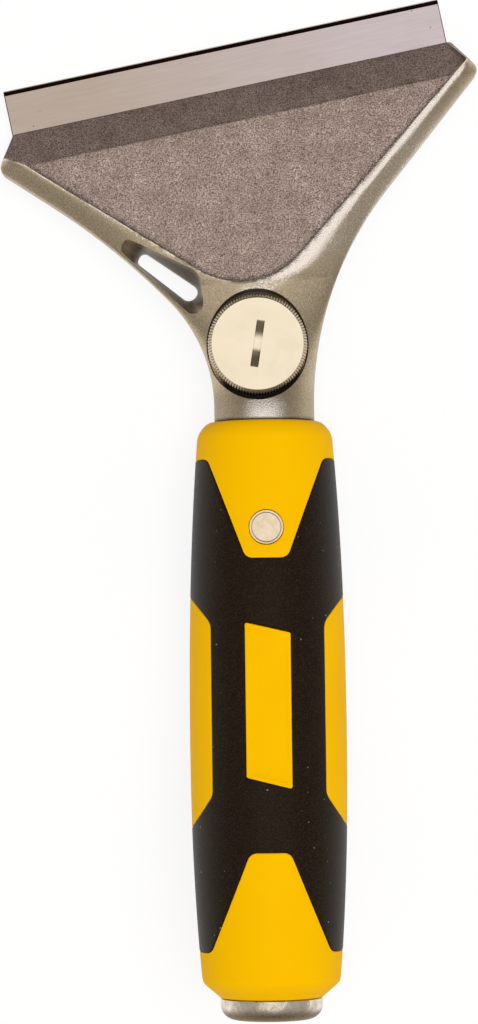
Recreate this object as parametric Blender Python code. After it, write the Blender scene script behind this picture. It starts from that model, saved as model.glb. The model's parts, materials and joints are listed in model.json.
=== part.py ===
"""Hand scraper: a reversible blade clamped in a skewed cast head, on a pinned two-colour grip.

The pieces are modelled in the tool's own frame, in millimetres: +Y runs along the handle's axis to the
blade, +Z comes out of the front face with the clamp screw, and the origin is where that axis leaves the
handle. The finished tool lies on its back, on the clamp plate's lip and the handle's collar.
"""

import math

import bmesh
import bpy
import numpy as np
from mathutils import Matrix, Vector

MM = 0.001
CLEAR = 0.15  # gap between pieces that seat on each other
REACH = 40.0  # how far a cutter runs past the material it cuts
ARC_STEP = math.radians(15)  # widest step round a fillet
ARC_SAG = 0.08  # how far its chords may lie off the arc
ROUND = 48  # facets round the handle
FINE = 32  # facets round small turned pieces

# Blade: u runs along its edge and v towards the edge, both from the tool's origin.
SKEW = math.radians(11.4)
BLADE_LENGTH = 100.0
BLADE_DEPTH = 20.0
BLADE_THICK = 0.8
BLADE_GRIND = 1.2
BLADE_LEFT = -41.8
EDGE_V = 85.4

# Head casting, front face
LIP_V = 75.2
LIP_Z = 1.2
LIP_EDGE_Z = 0.9
LIP_ROUND = 1.0
FACET_V = 67.1
PANEL_Z = 6.0
PANEL_STEP = 0.4  # how far the panel lies below the polished rim
RIM_SLOPE = 5.8  # width of the slope outside the rim's flat land, along a section
RIM_POWER = 1.25  # 1 is a straight slope, and 2 an ellipse as at the neck
RIM_EDGE_Z = 3.7
NECK_RADIUS = 11.2
NECK_DEPTH = 2.6  # how far the neck runs into the handle's mouth
CROWN_Y = 30.0  # where the neck's crown runs out into the panel
CROWN_FLAT = 0.5  # width of the flat left along the middle of a fully round section
PARTING_Z = 0.4  # half the upright band between front and back at the neck
FAN_FROM, FAN_TO = 16.0, 62.0  # sections turn from square to the handle to along the blade
FRONT_FROM, FRONT_TO = 8.0, 38.0  # the front turns from the round neck to a flat face with a rim
BACK_FROM, BACK_TO = 4.0, 40.0  # and so does the back

# Head casting, back
BACK_Z = -3.6
BACK_EDGE_Z = -1.5
BACK_ROUND = 2.0
BED_Z = -0.35
BLADE_GAP = 0.1
PLATE_ROOM = 0.4
WEB_Z = 3.2  # ceiling of the cored pockets under the panel
HANG_MOUTH_Z, HANG_HOLE_Z = 2.6, -1.0  # the hang slot's walls slope in between these levels

# Clamp screw and what sits on it, along the screw's own axis
SCREW_AT = Vector((-1.35, 17.1, 0.0))
POCKET_RADIUS = 12.6
POCKET_Z = 2.4
KNURL_RADIUS = 11.1
KNURL_DEPTH = 0.35
KNURL_TEETH = 64
KNURL_LEAD, KNURL_RUNOUT = 0.5, 0.7  # heights of the chamfers under and over the teeth
FACE_RADIUS = 10.35
FACE_Z = 9.2
SHANK_RADIUS = 4.0
SHANK_ROOM = 0.3
SHANK_CHAMFER = 0.8
THREAD_GAP = 0.1
SHANK_END = -7.8
COIN_SLOT_LENGTH = 10.5
COIN_SLOT_WIDTH = 2.1
COIN_SLOT_SAW = 9.0  # radius of the saw that leaves the slot's round bottom
COIN_SLOT_TURN = math.radians(-6.5)
WASHER_RADIUS = 9.0
WASHER_THICK = 0.7
RING_RADIUS = 6.4
RING_THICK = 0.9
RING_GAP = math.radians(60)
RING_PLAY = 0.15  # on each side of the ring in its groove
RING_ROOM = 0.6
GROOVE_DEPTH = 0.8
GROOVE_TOP = BED_Z - 0.1

# Clamp plate
PLATE_V = LIP_V - 0.3
PLATE_TOP = -0.5
PLATE_BACK = -3.9
PLATE_LIP = 1.6  # thickness left at the plate's bevelled lip
PLATE_BEVEL = 2.8  # how far that bevel runs back from the lip
BOSS_RADIUS = 8.2
TAIL = 8.4  # reach of the plate round the screw
BOSS_END = -8.2

# Handle
HANDLE_LENGTH = 128.0
COLLAR_RADIUS, COLLAR_Y = 15.2, -3.8
MOUTH_RIM = 12.3
BELLY_RADIUS, BELLY_Y = 17.55, -70.0
BUTT_RADIUS, BUTT_Y = 15.5, -123.6
BUTT_RIM = 11.55
BUTT_SOFTENING = ((0.25, 1.0), (0.8, 1.7))  # points in and down from the butt that round its chamfer
BELLY_POWER = 2.2
GRIP_THICK = 2.2
GRIP_TOP, GRIP_END = -7.0, -119.2
GRIP_OVERCUT = 1.0  # how far the room for the grip is cut past the core's surface
TUBE_RADIUS = 10.0
TUBE_BORE = 8.6
TANG_RADIUS = 8.4
TANG_END = -42.0
TANG_CHAMFER = 1.0
PIN_Y = -24.0
PIN_RADIUS = 3.75
PIN_CHAMFER = 0.5
CAP_RADIUS = 11.45
CAP_ROUND = 3.5
CAP_END = -133.0
CAP_SHANK_END = -119.0
CAP_CHAMFER = 1.0


def skewed(u, v):
    """A point of the blade's frame in the tool's frame."""
    return (u * math.cos(SKEW) - v * math.sin(SKEW), u * math.sin(SKEW) + v * math.cos(SKEW))


# Outlines, as corners (x, y, radius), anticlockwise
HEAD_LEFT = [(*skewed(-42.2, LIP_V), 0.6), (-59.1, 57.2, 1.8), (-34.1, 40.8, 150.0),
             (-NECK_RADIUS, 17.9, 35.0), (-NECK_RADIUS, 0.0, 0.0)]
HEAD_RIGHT = [(NECK_RADIUS, 0.0, 0.0), (NECK_RADIUS, 30.9, 78.0), (49.6, 79.0, 2.2),
              (*skewed(59.6, LIP_V), 0.8)]
PANEL = [(-1.6, 26.0, 17.6), (46.4, 80.7, 0.8), (*skewed(58.4, LIP_V + 2), 0.0),
         (*skewed(-41.6, LIP_V + 2), 0.0), (-57.2, 60.7, 0.5)]
PLATE = [(*skewed(-41.6, PLATE_V), 0.6), (*skewed(-41.6, 65.6), 2.0), (-9.5, 33.5, 10.0),
         (SCREW_AT.x - TAIL, SCREW_AT.y - TAIL, TAIL), (SCREW_AT.x + TAIL, SCREW_AT.y - TAIL, TAIL),
         (8.5, 30.0, 20.0), (*skewed(58.0, 65.6), 2.0),
         (*skewed(58.0, PLATE_V), 0.6)]
HANG_MOUTH = [(-30.9, 41.7, 1.5), (-31.7, 38.7, 1.5), (-13.1, 21.3, 2.2), (-13.6, 33.2, 5.0)]
HANG_HOLE = [(-27.0, 39.3, 1.0), (-28.3, 36.5, 1.0), (-16.2, 26.9, 1.5), (-13.9, 30.3, 1.5)]
BLADE_SEAT = [(-42.1, 65.0), (58.5, 65.0), (58.5, 71.0), (70.0, 71.0), (70.0, 95.0),
              (-55.0, 95.0), (-55.0, 71.0), (-42.1, 71.0)]
CORE_LEFT = [(*skewed(-31.0, 62.6), 2.0), (-10.5, 37.5, 2.0), (-3.2, 36.5, 2.0), (*skewed(8.0, 62.6), 2.0)]
CORE_RIGHT = [(*skewed(12.0, 62.6), 2.0), (1.0, 36.5, 2.0), (8.5, 36.5, 2.0), (*skewed(48.5, 62.6), 2.0)]
WINDOW_NECK = [(-REACH, REACH, 0.0), (-REACH, -8.5, 0.0), (-13.0, -8.5, 1.8), (-4.7, -30.8, 2.2),
               (4.7, -30.8, 2.2), (13.0, -8.5, 1.8), (REACH, -8.5, 0.0), (REACH, REACH, 0.0)]
WINDOW_BUTT = [(-REACH, -170.0, 0.0), (REACH, -170.0, 0.0), (REACH, -117.7, 0.0), (13.4, -117.7, 1.8),
               (4.5, -95.4, 2.2), (-4.5, -95.4, 2.2), (-13.4, -117.7, 1.8), (-REACH, -117.7, 0.0)]
WINDOW_SIDE = [(REACH, -9.0, 0.0), (12.65, -45.0, 4.0), (12.65, -82.9, 4.0), (REACH, -125.0, 0.0)]
WINDOW_CENTRE = [(-5.15, -44.8, 0.5), (-5.15, -79.0, 0.5), (5.15, -81.6, 0.5), (5.15, -47.2, 0.5)]


def smooth(start, end, value):
    """0 before start and 1 after end, with a soft step between them."""
    part = min(max((value - start) / (end - start), 0.0), 1.0)
    return part * part * (3 - 2 * part)


def mix(first, second, part):
    return first + (second - first) * part


def fillet(before, corner, after, radius, steps):
    """Points of the arc that rounds a corner, as many as its sweep needs where steps is None."""
    to_before = (before - corner).normalized()
    to_after = (after - corner).normalized()
    half = to_before.angle(to_after) / 2
    centre = corner + (to_before + to_after).normalized() * radius / math.sin(half)
    spoke = corner + to_before * radius / math.tan(half) - centre
    sweep = math.pi - 2 * half
    turn = math.copysign(sweep, to_after.cross(to_before))
    step = min(ARC_STEP, 2 * math.acos(1 - min(ARC_SAG / radius, 1.0)))
    steps = steps or max(2, math.ceil(sweep / step))
    return [centre + Matrix.Rotation(turn * count / steps, 2) @ spoke for count in range(steps + 1)]


def rounded(corners, steps=None):
    """The points of an outline given as corners with radii."""
    points = []
    for place, (x, y, radius) in enumerate(corners):
        corner = Vector((x, y))
        if radius == 0.0:
            points.append(corner)
            continue
        before = Vector(corners[place - 1][:2])
        after = Vector(corners[(place + 1) % len(corners)][:2])
        points += fillet(before, corner, after, radius, steps)
    return points


def grown(corners, gap):
    """The corners of an anticlockwise outline with every edge moved out by a gap."""
    moved = []
    for place, (x, y, radius) in enumerate(corners):
        corner = Vector((x, y))
        into = (corner - Vector(corners[place - 1][:2])).normalized()
        out = (Vector(corners[(place + 1) % len(corners)][:2]) - corner).normalized()
        normals = Vector((into.y + out.y, -into.x - out.x))
        corner += normals * gap / (1 + into.dot(out))
        bend = math.copysign(gap, into.cross(out)) if gap else 0.0
        moved.append((*corner, max(radius + bend, 0.0) if radius else 0.0))
    return moved


def loft(rings):
    """A mesh through rings of equal length, closed at both ends."""
    bm = bmesh.new()
    loops = [[bm.verts.new(point) for point in ring] for ring in rings]
    for first, second in zip(loops, loops[1:]):
        for place in range(len(first)):
            bm.faces.new((first[place - 1], first[place], second[place], second[place - 1]))
    bm.faces.new(loops[0])
    bm.faces.new(loops[-1])
    return bm


def prism(outline, floor, top):
    """A mesh with an outline's walls; floor is a level, or a plane given as a function of x and y."""
    level = floor if callable(floor) else lambda x, y: floor
    return loft([[(x, y, level(x, y)) for x, y in outline], [(x, y, top) for x, y in outline]])


def turned(profile, axis, hollow=False, facets=FINE):
    """A mesh from a profile (radius, height) spun about Y or Z; hollow joins the profile's two ends."""
    bm = bmesh.new()
    turn = Matrix.Identity(3) if axis == "Y" else Matrix.Rotation(math.pi / 2, 3, "X")
    points = [bm.verts.new(turn @ Vector((radius, height, 0))) for radius, height in profile]
    followers = points[1:] + (points[:1] if hollow else [])
    edges = [bm.edges.new(pair) for pair in zip(points, followers)]
    bmesh.ops.spin(bm, geom=points + edges, cent=(0, 0, 0), axis=turn @ Vector((0, 1, 0)),
                   angle=math.tau, steps=facets, use_merge=True)
    bmesh.ops.remove_doubles(bm, verts=bm.verts, dist=MM)
    return bm


def cylinder(radius, low, high, axis="Z", facets=FINE):
    return turned([(0, low), (radius, low), (radius, high), (0, high)], axis, facets=facets)


def add(name, bm, parent, finish=None):
    """An object from a mesh in millimetres; without a finish it is a cutter that isn't rendered."""
    bmesh.ops.recalc_face_normals(bm, faces=bm.faces)
    bmesh.ops.scale(bm, vec=(MM, MM, MM), verts=bm.verts)
    mesh = bpy.data.meshes.new(name)
    bm.to_mesh(mesh)
    bm.free()
    piece = bpy.data.objects.new(name, mesh)
    bpy.context.scene.collection.objects.link(piece)
    piece.parent = parent
    if finish:
        mesh.materials.append(finish)
        mesh.shade_smooth()
        mesh.set_sharp_from_angle(angle=math.radians(30))
    else:
        piece.hide_render = True
        piece.display_type = "WIRE"
    return piece


def shape(piece, name, bm, operation="DIFFERENCE"):
    """Cuts a mesh out of a piece, or joins it on, with a Boolean; the mesh is in the piece's own frame."""
    tool = add(f"{piece.name}_{name}", bm, piece.parent)
    boolean = piece.modifiers.new(name, "BOOLEAN")
    boolean.operation = operation
    boolean.object = tool
    return tool


def empty(name, parent=None, at=(0, 0, 0), turn=0.0):
    frame = bpy.data.objects.new(name, None)
    bpy.context.scene.collection.objects.link(frame)
    frame.empty_display_size = 10 * MM
    frame.parent = parent
    frame.location = Vector(at) * MM
    frame.rotation_euler.z = turn
    return frame


def finish(name, colour, roughness, metallic=0.0):
    material = bpy.data.materials.new(name)
    material.use_nodes = True
    shader = material.node_tree.nodes["Principled BSDF"]
    shader.inputs["Base Color"].default_value = (*colour, 1.0)
    shader.inputs["Roughness"].default_value = roughness
    shader.inputs["Metallic"].default_value = metallic
    return material


def crossing(side, height, slope):
    """Where a section line y = height + slope * x meets one side of the head, listed from lip to neck."""
    before = side[0]
    above = max(before.y - height - slope * before.x, 0.0)
    for point in side[1:]:
        over = point.y - height - slope * point.x
        if over <= 0:
            return before.lerp(point, above / max(above - over, 1e-9))
        before, above = point, over
    return side[-1]


def quarter(width, low, high, power=2.0, steps=6):
    """Points (distance, level) of a quarter superellipse that rises from a wall to a flat."""
    angles = [math.pi / 2 * step / steps for step in range(steps)]
    points = [(1 - math.cos(angle) ** (2 / power), math.sin(angle) ** (2 / power)) for angle in angles]
    return [(width * away, mix(low, high, rise)) for away, rise in points] + [(width, high)]


def head_section(height, left_side, right_side):
    """One section of the casting, where its section line crosses the handle's axis at a height."""
    slope = math.tan(SKEW * smooth(FAN_FROM, FAN_TO, height))
    left = crossing(left_side, height, slope)
    right = crossing(right_side, height, slope)
    span = (right - left).length
    along = (right - left) / span
    facet = min(max((height * math.cos(SKEW) - FACET_V) / (LIP_V - FACET_V), 0.0), 1.0)
    flat = smooth(FRONT_FROM, FRONT_TO, height)
    thin = smooth(BACK_FROM, BACK_TO, height)
    crown = (1 - smooth(0.0, CROWN_Y, height)) ** 1.5
    widest = (span - CROWN_FLAT) / 2
    top = mix(mix(PANEL_Z + PANEL_STEP, NECK_RADIUS, crown), LIP_Z + PANEL_STEP, facet)
    front_edge = mix(mix(PARTING_Z, RIM_EDGE_Z, flat), LIP_EDGE_Z, facet)
    front_width = min(mix(span / 2, mix(RIM_SLOPE, LIP_ROUND, facet), flat), widest)
    front = quarter(front_width, front_edge, top, mix(2.0, RIM_POWER, flat))
    back_width = min(mix(span / 2, BACK_ROUND, thin), widest)
    back = quarter(back_width, mix(-PARTING_Z, BACK_EDGE_Z, flat), mix(-NECK_RADIUS, BACK_Z, thin))
    ring = front + [(span - width, level) for width, level in reversed(front)]
    ring += [(span - width, level) for width, level in back] + list(reversed(back))
    return [(*(left + along * width), level) for width, level in ring]


def head_casting(tool, zinc):
    left_side = rounded(HEAD_LEFT + HEAD_RIGHT)
    neck = next(place for place, point in enumerate(left_side) if point.y < MM)
    left_side, right_side = left_side[:neck + 1], left_side[:neck:-1]
    lip, bend = LIP_V / math.cos(SKEW), FACET_V / math.cos(SKEW)
    heights = [*np.linspace(lip, bend, 8), *np.linspace(bend, FAN_TO, 6)[1:],
               *np.linspace(FAN_TO, 0.0, 27)[1:]]
    rings = [head_section(height, left_side, right_side) for height in heights]
    for radius, y in ((NECK_RADIUS, -NECK_DEPTH), (TANG_RADIUS, -NECK_DEPTH),
                      (TANG_RADIUS, TANG_END + TANG_CHAMFER), (TANG_RADIUS - TANG_CHAMFER, TANG_END)):
        share = radius / NECK_RADIUS
        rings.append([(x * share, y, z * share) for x, _, z in rings[len(heights) - 1]])
    head = add("head_casting", loft(rings), tool, zinc)

    def facet_floor(x, y):
        v = y * math.cos(SKEW) - x * math.sin(SKEW)
        return mix(PANEL_Z, LIP_Z, (v - FACET_V) / (LIP_V - FACET_V))

    shape(head, "panel", prism(rounded(PANEL), PANEL_Z, REACH))
    shape(head, "facet", prism(rounded(PANEL), facet_floor, REACH))
    seat = [skewed(u, v) for u, v in BLADE_SEAT]
    shape(head, "blade_seat", prism(seat, -REACH, BLADE_THICK / 2 + BLADE_GAP))
    shape(head, "plate_seat", prism(rounded(grown(PLATE, PLATE_ROOM)), -REACH, BED_Z))
    shape(head, "core_left", prism(rounded(CORE_LEFT), -REACH, WEB_Z))
    shape(head, "core_right", prism(rounded(CORE_RIGHT), -REACH, WEB_Z))
    bore = SHANK_RADIUS + SHANK_ROOM
    pocket = turned([(0, -REACH), (bore, -REACH), (bore, POCKET_Z), (POCKET_RADIUS, POCKET_Z),
                     (POCKET_RADIUS, REACH), (0, REACH)], "Z", facets=ROUND)
    bmesh.ops.translate(pocket, vec=SCREW_AT, verts=pocket.verts)
    shape(head, "screw_pocket", pocket)
    levels = ((HANG_MOUTH, REACH), (HANG_MOUTH, HANG_MOUTH_Z),
              (HANG_HOLE, HANG_HOLE_Z), (HANG_HOLE, -REACH))
    shape(head, "hang_slot", loft([[(x, y, z) for x, y in rounded(corners, 6)] for corners, z in levels]))
    shape(head, "pin_hole", pin_hole())
    return head


def pin_hole():
    hole = cylinder(PIN_RADIUS + CLEAR, -REACH, REACH)
    bmesh.ops.translate(hole, vec=(0, PIN_Y, 0), verts=hole.verts)
    return hole


def scraper_blade(slide, steel):
    half = BLADE_THICK / 2
    heel = EDGE_V - BLADE_DEPTH
    section = [(EDGE_V, 0), (EDGE_V - BLADE_GRIND, half), (heel + BLADE_GRIND, half),
               (heel, 0), (heel + BLADE_GRIND, -half), (EDGE_V - BLADE_GRIND, -half)]
    ends = (BLADE_LEFT, BLADE_LEFT + BLADE_LENGTH)
    return add("scraper_blade", loft([[(u, v, z) for v, z in section] for u in ends]), slide, steel)


def clamp_plate(axis, steel):
    outline = [point - SCREW_AT.xy for point in rounded(PLATE)]
    bm = prism(outline, PLATE_BACK, PLATE_TOP)
    lip = Vector((*skewed(0, PLATE_V), PLATE_TOP - PLATE_LIP)) - SCREW_AT
    slope = Vector((*skewed(0, PLATE_TOP - PLATE_LIP - PLATE_BACK), -PLATE_BEVEL))
    cut = bmesh.ops.bisect_plane(bm, geom=bm.verts[:] + bm.edges[:] + bm.faces[:], plane_co=lip,
                                 plane_no=slope, clear_outer=True)["geom_cut"]
    bmesh.ops.contextual_create(bm, geom=[part for part in cut if isinstance(part, bmesh.types.BMEdge)])
    plate = add("clamp_plate", bm, axis, steel)
    shape(plate, "boss", cylinder(BOSS_RADIUS, BOSS_END, PLATE_BACK + 1), "UNION")
    shape(plate, "thread_hole", cylinder(SHANK_RADIUS + THREAD_GAP, -REACH, REACH))
    shape(plate, "ring_room", cylinder(RING_RADIUS + RING_ROOM, PLATE_TOP - RING_THICK - PLATE_ROOM, REACH))
    return plate


def clamp_screw(axis, plating):
    seat = POCKET_Z + WASHER_THICK + 2 * CLEAR
    rings = []
    levels = ((FACE_RADIUS, seat, 0), (KNURL_RADIUS, seat + KNURL_LEAD, KNURL_DEPTH),
              (KNURL_RADIUS, FACE_Z - KNURL_RUNOUT, KNURL_DEPTH), (FACE_RADIUS, FACE_Z, 0))
    for radius, level, depth in levels:
        turns = [math.tau * step / (2 * KNURL_TEETH) for step in range(2 * KNURL_TEETH)]
        reaches = [radius - depth * (step % 2) for step in range(len(turns))]
        rings.append([(reach * math.cos(turn), reach * math.sin(turn), level)
                      for reach, turn in zip(reaches, turns)])
    screw = add("clamp_screw", loft(rings), axis, plating)
    groove_low = GROOVE_TOP - RING_THICK - 2 * RING_PLAY
    root = SHANK_RADIUS - GROOVE_DEPTH
    shank = [(0, seat + 1), (SHANK_RADIUS, seat + 1), (SHANK_RADIUS, GROOVE_TOP), (root, GROOVE_TOP),
             (root, groove_low), (SHANK_RADIUS, groove_low), (SHANK_RADIUS, SHANK_END + SHANK_CHAMFER),
             (SHANK_RADIUS - SHANK_CHAMFER, SHANK_END), (0, SHANK_END)]
    shape(screw, "shank", turned(shank, "Z"), "UNION")
    saw_height = math.sqrt(COIN_SLOT_SAW ** 2 - (COIN_SLOT_LENGTH / 2) ** 2)
    saw = cylinder(COIN_SLOT_SAW, -COIN_SLOT_WIDTH / 2, COIN_SLOT_WIDTH / 2, facets=ROUND)
    upright = Matrix.Translation((0, 0, FACE_Z + saw_height))
    upright @= Matrix.Rotation(COIN_SLOT_TURN, 4, "Z") @ Matrix.Rotation(math.pi / 2, 4, "Y")
    bmesh.ops.transform(saw, matrix=upright, verts=saw.verts)
    shape(screw, "coin_slot", saw)
    return screw


def screw_washer(axis, steel):
    low = POCKET_Z + CLEAR
    bore = SHANK_RADIUS + SHANK_ROOM
    high = low + WASHER_THICK
    section = [(WASHER_RADIUS, high), (WASHER_RADIUS, low), (bore, low), (bore, high)]
    return add("screw_washer", turned(section, "Z", hollow=True), axis, steel)


def screw_retaining_ring(axis, steel):
    """An open ring that snaps into the shank's groove from one side."""
    bore = SHANK_RADIUS - GROOVE_DEPTH + CLEAR
    steps = 24
    turns = [RING_GAP / 2 + (math.tau - RING_GAP) * step / steps for step in range(steps + 1)]
    outline = [(RING_RADIUS * math.cos(turn), RING_RADIUS * math.sin(turn)) for turn in turns]
    outline += [(bore * math.cos(turn), bore * math.sin(turn)) for turn in reversed(turns)]
    top = GROOVE_TOP - RING_PLAY
    return add("screw_retaining_ring", prism(outline, top - RING_THICK, top), axis, steel)


def barrel_radius(y):
    """The handle's outer radius, a belly that falls away to the collar and to the butt."""
    end_radius, end_y = (COLLAR_RADIUS, COLLAR_Y) if y > BELLY_Y else (BUTT_RADIUS, BUTT_Y)
    away = abs((y - BELLY_Y) / (end_y - BELLY_Y))
    return BELLY_RADIUS - (BELLY_RADIUS - end_radius) * away ** BELLY_POWER


def grip_shell(name, tool, gap, rubber=None):
    """The rubber's ring with its windows; with a gap it is the room for the rubber in the core."""
    heights = np.linspace(GRIP_TOP, GRIP_END, 12)
    extra = GRIP_OVERCUT if gap else 0.0
    section = [(barrel_radius(y) + extra, y) for y in heights]
    section += [(barrel_radius(y) - GRIP_THICK - gap, y) for y in reversed(heights)]
    shell = add(name, turned(section, "Y", hollow=True, facets=ROUND), tool, rubber)
    mirrored = [(-x, y, radius) for x, y, radius in reversed(WINDOW_SIDE)]
    for label, corners in (("neck", WINDOW_NECK), ("butt", WINDOW_BUTT), ("right", WINDOW_SIDE),
                           ("left", mirrored), ("centre", WINDOW_CENTRE)):
        shape(shell, f"window_{label}", prism(rounded(grown(corners, -gap)), -REACH, REACH))
    return shell


def handle_core(tool, plastic):
    collar = [(MOUTH_RIM + (COLLAR_RADIUS - MOUTH_RIM) * math.sin(turn), COLLAR_Y * (1 - math.cos(turn)))
              for turn in np.linspace(0.0, math.pi / 2, 6)]
    belly = [(barrel_radius(y), y) for y in np.linspace(COLLAR_Y, BUTT_Y, 14)[1:]]
    belly += [(BUTT_RADIUS - inwards, BUTT_Y - down) for inwards, down in BUTT_SOFTENING]
    bore, mouth = TUBE_RADIUS + CLEAR, NECK_RADIUS + CLEAR
    shoulder = -NECK_DEPTH - CLEAR
    inside = [(BUTT_RIM, -HANDLE_LENGTH), (bore, -HANDLE_LENGTH), (bore, shoulder),
              (mouth, shoulder), (mouth, 0.0)]
    core = add("handle_core", turned(collar + belly + inside, "Y", hollow=True, facets=ROUND), tool, plastic)
    room = core.modifiers.new("grip_room", "BOOLEAN")
    room.object = grip_shell("grip_room", tool, CLEAR)
    shape(core, "pin_hole", pin_hole())
    return core


def core_tube(tool, aluminium):
    top, low = -NECK_DEPTH - CLEAR, -HANDLE_LENGTH
    section = [(TUBE_RADIUS, top), (TUBE_RADIUS, low), (TUBE_BORE, low), (TUBE_BORE, top)]
    tube = add("core_tube", turned(section, "Y", hollow=True, facets=ROUND), tool, aluminium)
    shape(tube, "pin_hole", pin_hole())
    return tube


def cross_pin(tool, steel):
    reach = barrel_radius(PIN_Y)
    face = PIN_RADIUS - PIN_CHAMFER
    profile = [(0, reach), (face, reach), (PIN_RADIUS, reach - PIN_CHAMFER),
               (PIN_RADIUS, PIN_CHAMFER - reach), (face, -reach), (0, -reach)]
    pin = turned(profile, "Z")
    bmesh.ops.translate(pin, vec=(0, PIN_Y, 0), verts=pin.verts)
    return add("cross_pin", pin, tool, steel)


def strike_cap(tool, zinc):
    seat = -HANDLE_LENGTH - CLEAR
    shank = TUBE_BORE - CLEAR
    corner = [(CAP_RADIUS - CAP_ROUND * (1 - math.cos(turn)), CAP_END + CAP_ROUND * (1 - math.sin(turn)))
              for turn in np.linspace(0.0, math.pi / 2, 7)]
    profile = [(0, CAP_SHANK_END), (shank - CAP_CHAMFER, CAP_SHANK_END), (shank, CAP_SHANK_END - CAP_CHAMFER),
               (shank, seat), (CAP_RADIUS, seat), *corner, (0, CAP_END)]
    return add("strike_cap", turned(profile, "Y"), tool, zinc)


def corners_of(pieces):
    """The evaluated vertices of some pieces, in metres."""
    graph = bpy.context.evaluated_depsgraph_get()
    found = []
    for piece in pieces:
        shown = piece.evaluated_get(graph)
        found += [shown.matrix_world @ vert.co for vert in shown.data.vertices]
    return np.array(found)


def lay_down(tool, head_pieces, handle_pieces):
    """Pitches the tool about the blade's direction until head and handle touch the bench, and centres it."""
    bpy.context.view_layer.update()
    ahead = np.array((*skewed(0, 1), 0.0))
    head, handle = corners_of(head_pieces), corners_of(handle_pieces)
    low, high = 0.0, math.radians(20)
    for _ in range(40):
        pitch = (low + high) / 2
        drop = [np.min(part[:, 2] * math.cos(pitch) - part @ ahead * math.sin(pitch))
                for part in (head, handle)]
        low, high = (low, pitch) if drop[0] < drop[1] else (pitch, high)
    tool.matrix_world = Matrix.Rotation(-pitch, 4, Vector((*skewed(1, 0), 0.0)))
    bpy.context.view_layer.update()
    points = corners_of(head_pieces + handle_pieces)
    lowest, highest = points.min(axis=0), points.max(axis=0)
    middle = (lowest + highest) / 2
    tool.matrix_world = Matrix.Translation((-middle[0], -middle[1], -lowest[2])) @ tool.matrix_world
    bpy.context.view_layer.update()


def main():
    for thing in list(bpy.data.objects):
        bpy.data.objects.remove(thing)
    zinc = finish("cast_zinc", (0.33, 0.28, 0.26), 0.45, 1.0)
    plating = finish("nickel_plating", (0.80, 0.72, 0.60), 0.25, 1.0)
    steel = finish("bright_steel", (0.55, 0.53, 0.52), 0.35, 1.0)
    blade_steel = finish("ground_blade_steel", (0.55, 0.50, 0.50), 0.25, 1.0)
    aluminium = finish("drawn_aluminium", (0.60, 0.60, 0.61), 0.35, 1.0)
    plastic = finish("yellow_plastic", (0.95, 0.52, 0.01), 0.45)
    rubber = finish("black_rubber", (0.014, 0.011, 0.009), 0.7)

    tool = empty("tool")
    blade_slide = empty("blade_slide", tool, turn=SKEW)
    screw_axis = empty("screw_axis", tool, at=SCREW_AT)
    head = [head_casting(tool, zinc), scraper_blade(blade_slide, blade_steel), clamp_plate(screw_axis, steel),
            clamp_screw(screw_axis, plating), screw_washer(screw_axis, steel),
            screw_retaining_ring(screw_axis, steel)]
    handle = [handle_core(tool, plastic), grip_shell("grip_sleeve", tool, 0.0, rubber),
              core_tube(tool, aluminium), cross_pin(tool, steel), strike_cap(tool, zinc)]
    lay_down(tool, head, handle)


main()
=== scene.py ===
"""Looks of a hand scraper: a blade clamped in a skewed cast head, on a pinned two-colour grip.

The pieces are worked out in the tool's own frame, in millimetres: +Y runs along the handle's axis to the
blade, +Z comes out of the face with the clamp screw, and the origin is where that axis leaves the handle.
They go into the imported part's frame, in metres, when their meshes are made.
"""

import json
import math

import bmesh
import bpy
import numpy as np
from bpy.props import FloatProperty, FloatVectorProperty, IntProperty, PointerProperty
from mathutils import Matrix, Vector, geometry, kdtree


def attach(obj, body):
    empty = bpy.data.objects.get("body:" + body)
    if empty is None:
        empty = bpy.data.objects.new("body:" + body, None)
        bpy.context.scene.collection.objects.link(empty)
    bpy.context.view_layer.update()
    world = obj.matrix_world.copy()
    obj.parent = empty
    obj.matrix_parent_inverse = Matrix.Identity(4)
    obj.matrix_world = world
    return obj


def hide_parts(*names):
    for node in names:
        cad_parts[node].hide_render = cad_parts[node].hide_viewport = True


bl_info = {
    "name": "Hand Scraper",
    "version": (1, 0, 0),
    "blender": (4, 5, 0),
    "location": "3D View > Sidebar > Scraper",
    "description": "Dresses a packed hand scraper in its finished shapes and materials",
    "category": "Add Mesh",
}

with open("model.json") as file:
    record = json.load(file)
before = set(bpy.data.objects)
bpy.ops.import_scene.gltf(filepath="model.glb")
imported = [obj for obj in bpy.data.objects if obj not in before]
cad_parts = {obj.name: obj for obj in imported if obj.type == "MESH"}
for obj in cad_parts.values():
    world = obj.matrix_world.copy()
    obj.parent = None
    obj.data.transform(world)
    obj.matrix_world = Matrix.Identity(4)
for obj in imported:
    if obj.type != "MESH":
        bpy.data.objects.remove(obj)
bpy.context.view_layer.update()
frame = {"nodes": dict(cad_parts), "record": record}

MM = 0.001
PHOTO_HEIGHT = 1024  # pixels
ARC_STEP = math.radians(6)  # widest step round an arc
ARC_SAG = 0.01  # how far an arc's chords may lie off it
SHARP = math.radians(38)  # edges that bend more than this are drawn sharp
TINY = 0.01  # keeps the points of a level on the right side of a test
FINE, MEDIUM = 0.6, 0.8  # shares of the mesh step along edges, on the front and on the back
EDGE_SHARES = np.array((0.1, 0.35, 0.7, 1.0))  # where the mesh follows a rounded edge
BACK_STEP, GRIP_STEP = 1.3, 1.4  # how much wider the mesh step is on the back and on the grip
FACETS, SAW_FACETS = 96, 120  # round turned pieces

# Blade: u runs along its edge and v towards the edge, both from the tool's origin
SKEW = math.radians(11.4)
BLADE_LENGTH, BLADE_DEPTH, BLADE_THICK = 100.0, 20.0, 0.8
BLADE_LEFT = -41.8
EDGE_V = 85.39
EDGE_FLAT = 0.04  # width of the edge itself
END_CHAMFER = 0.2
HONED, HONED_Z = 0.2, 0.19  # steeper strip honed along the edge

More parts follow.
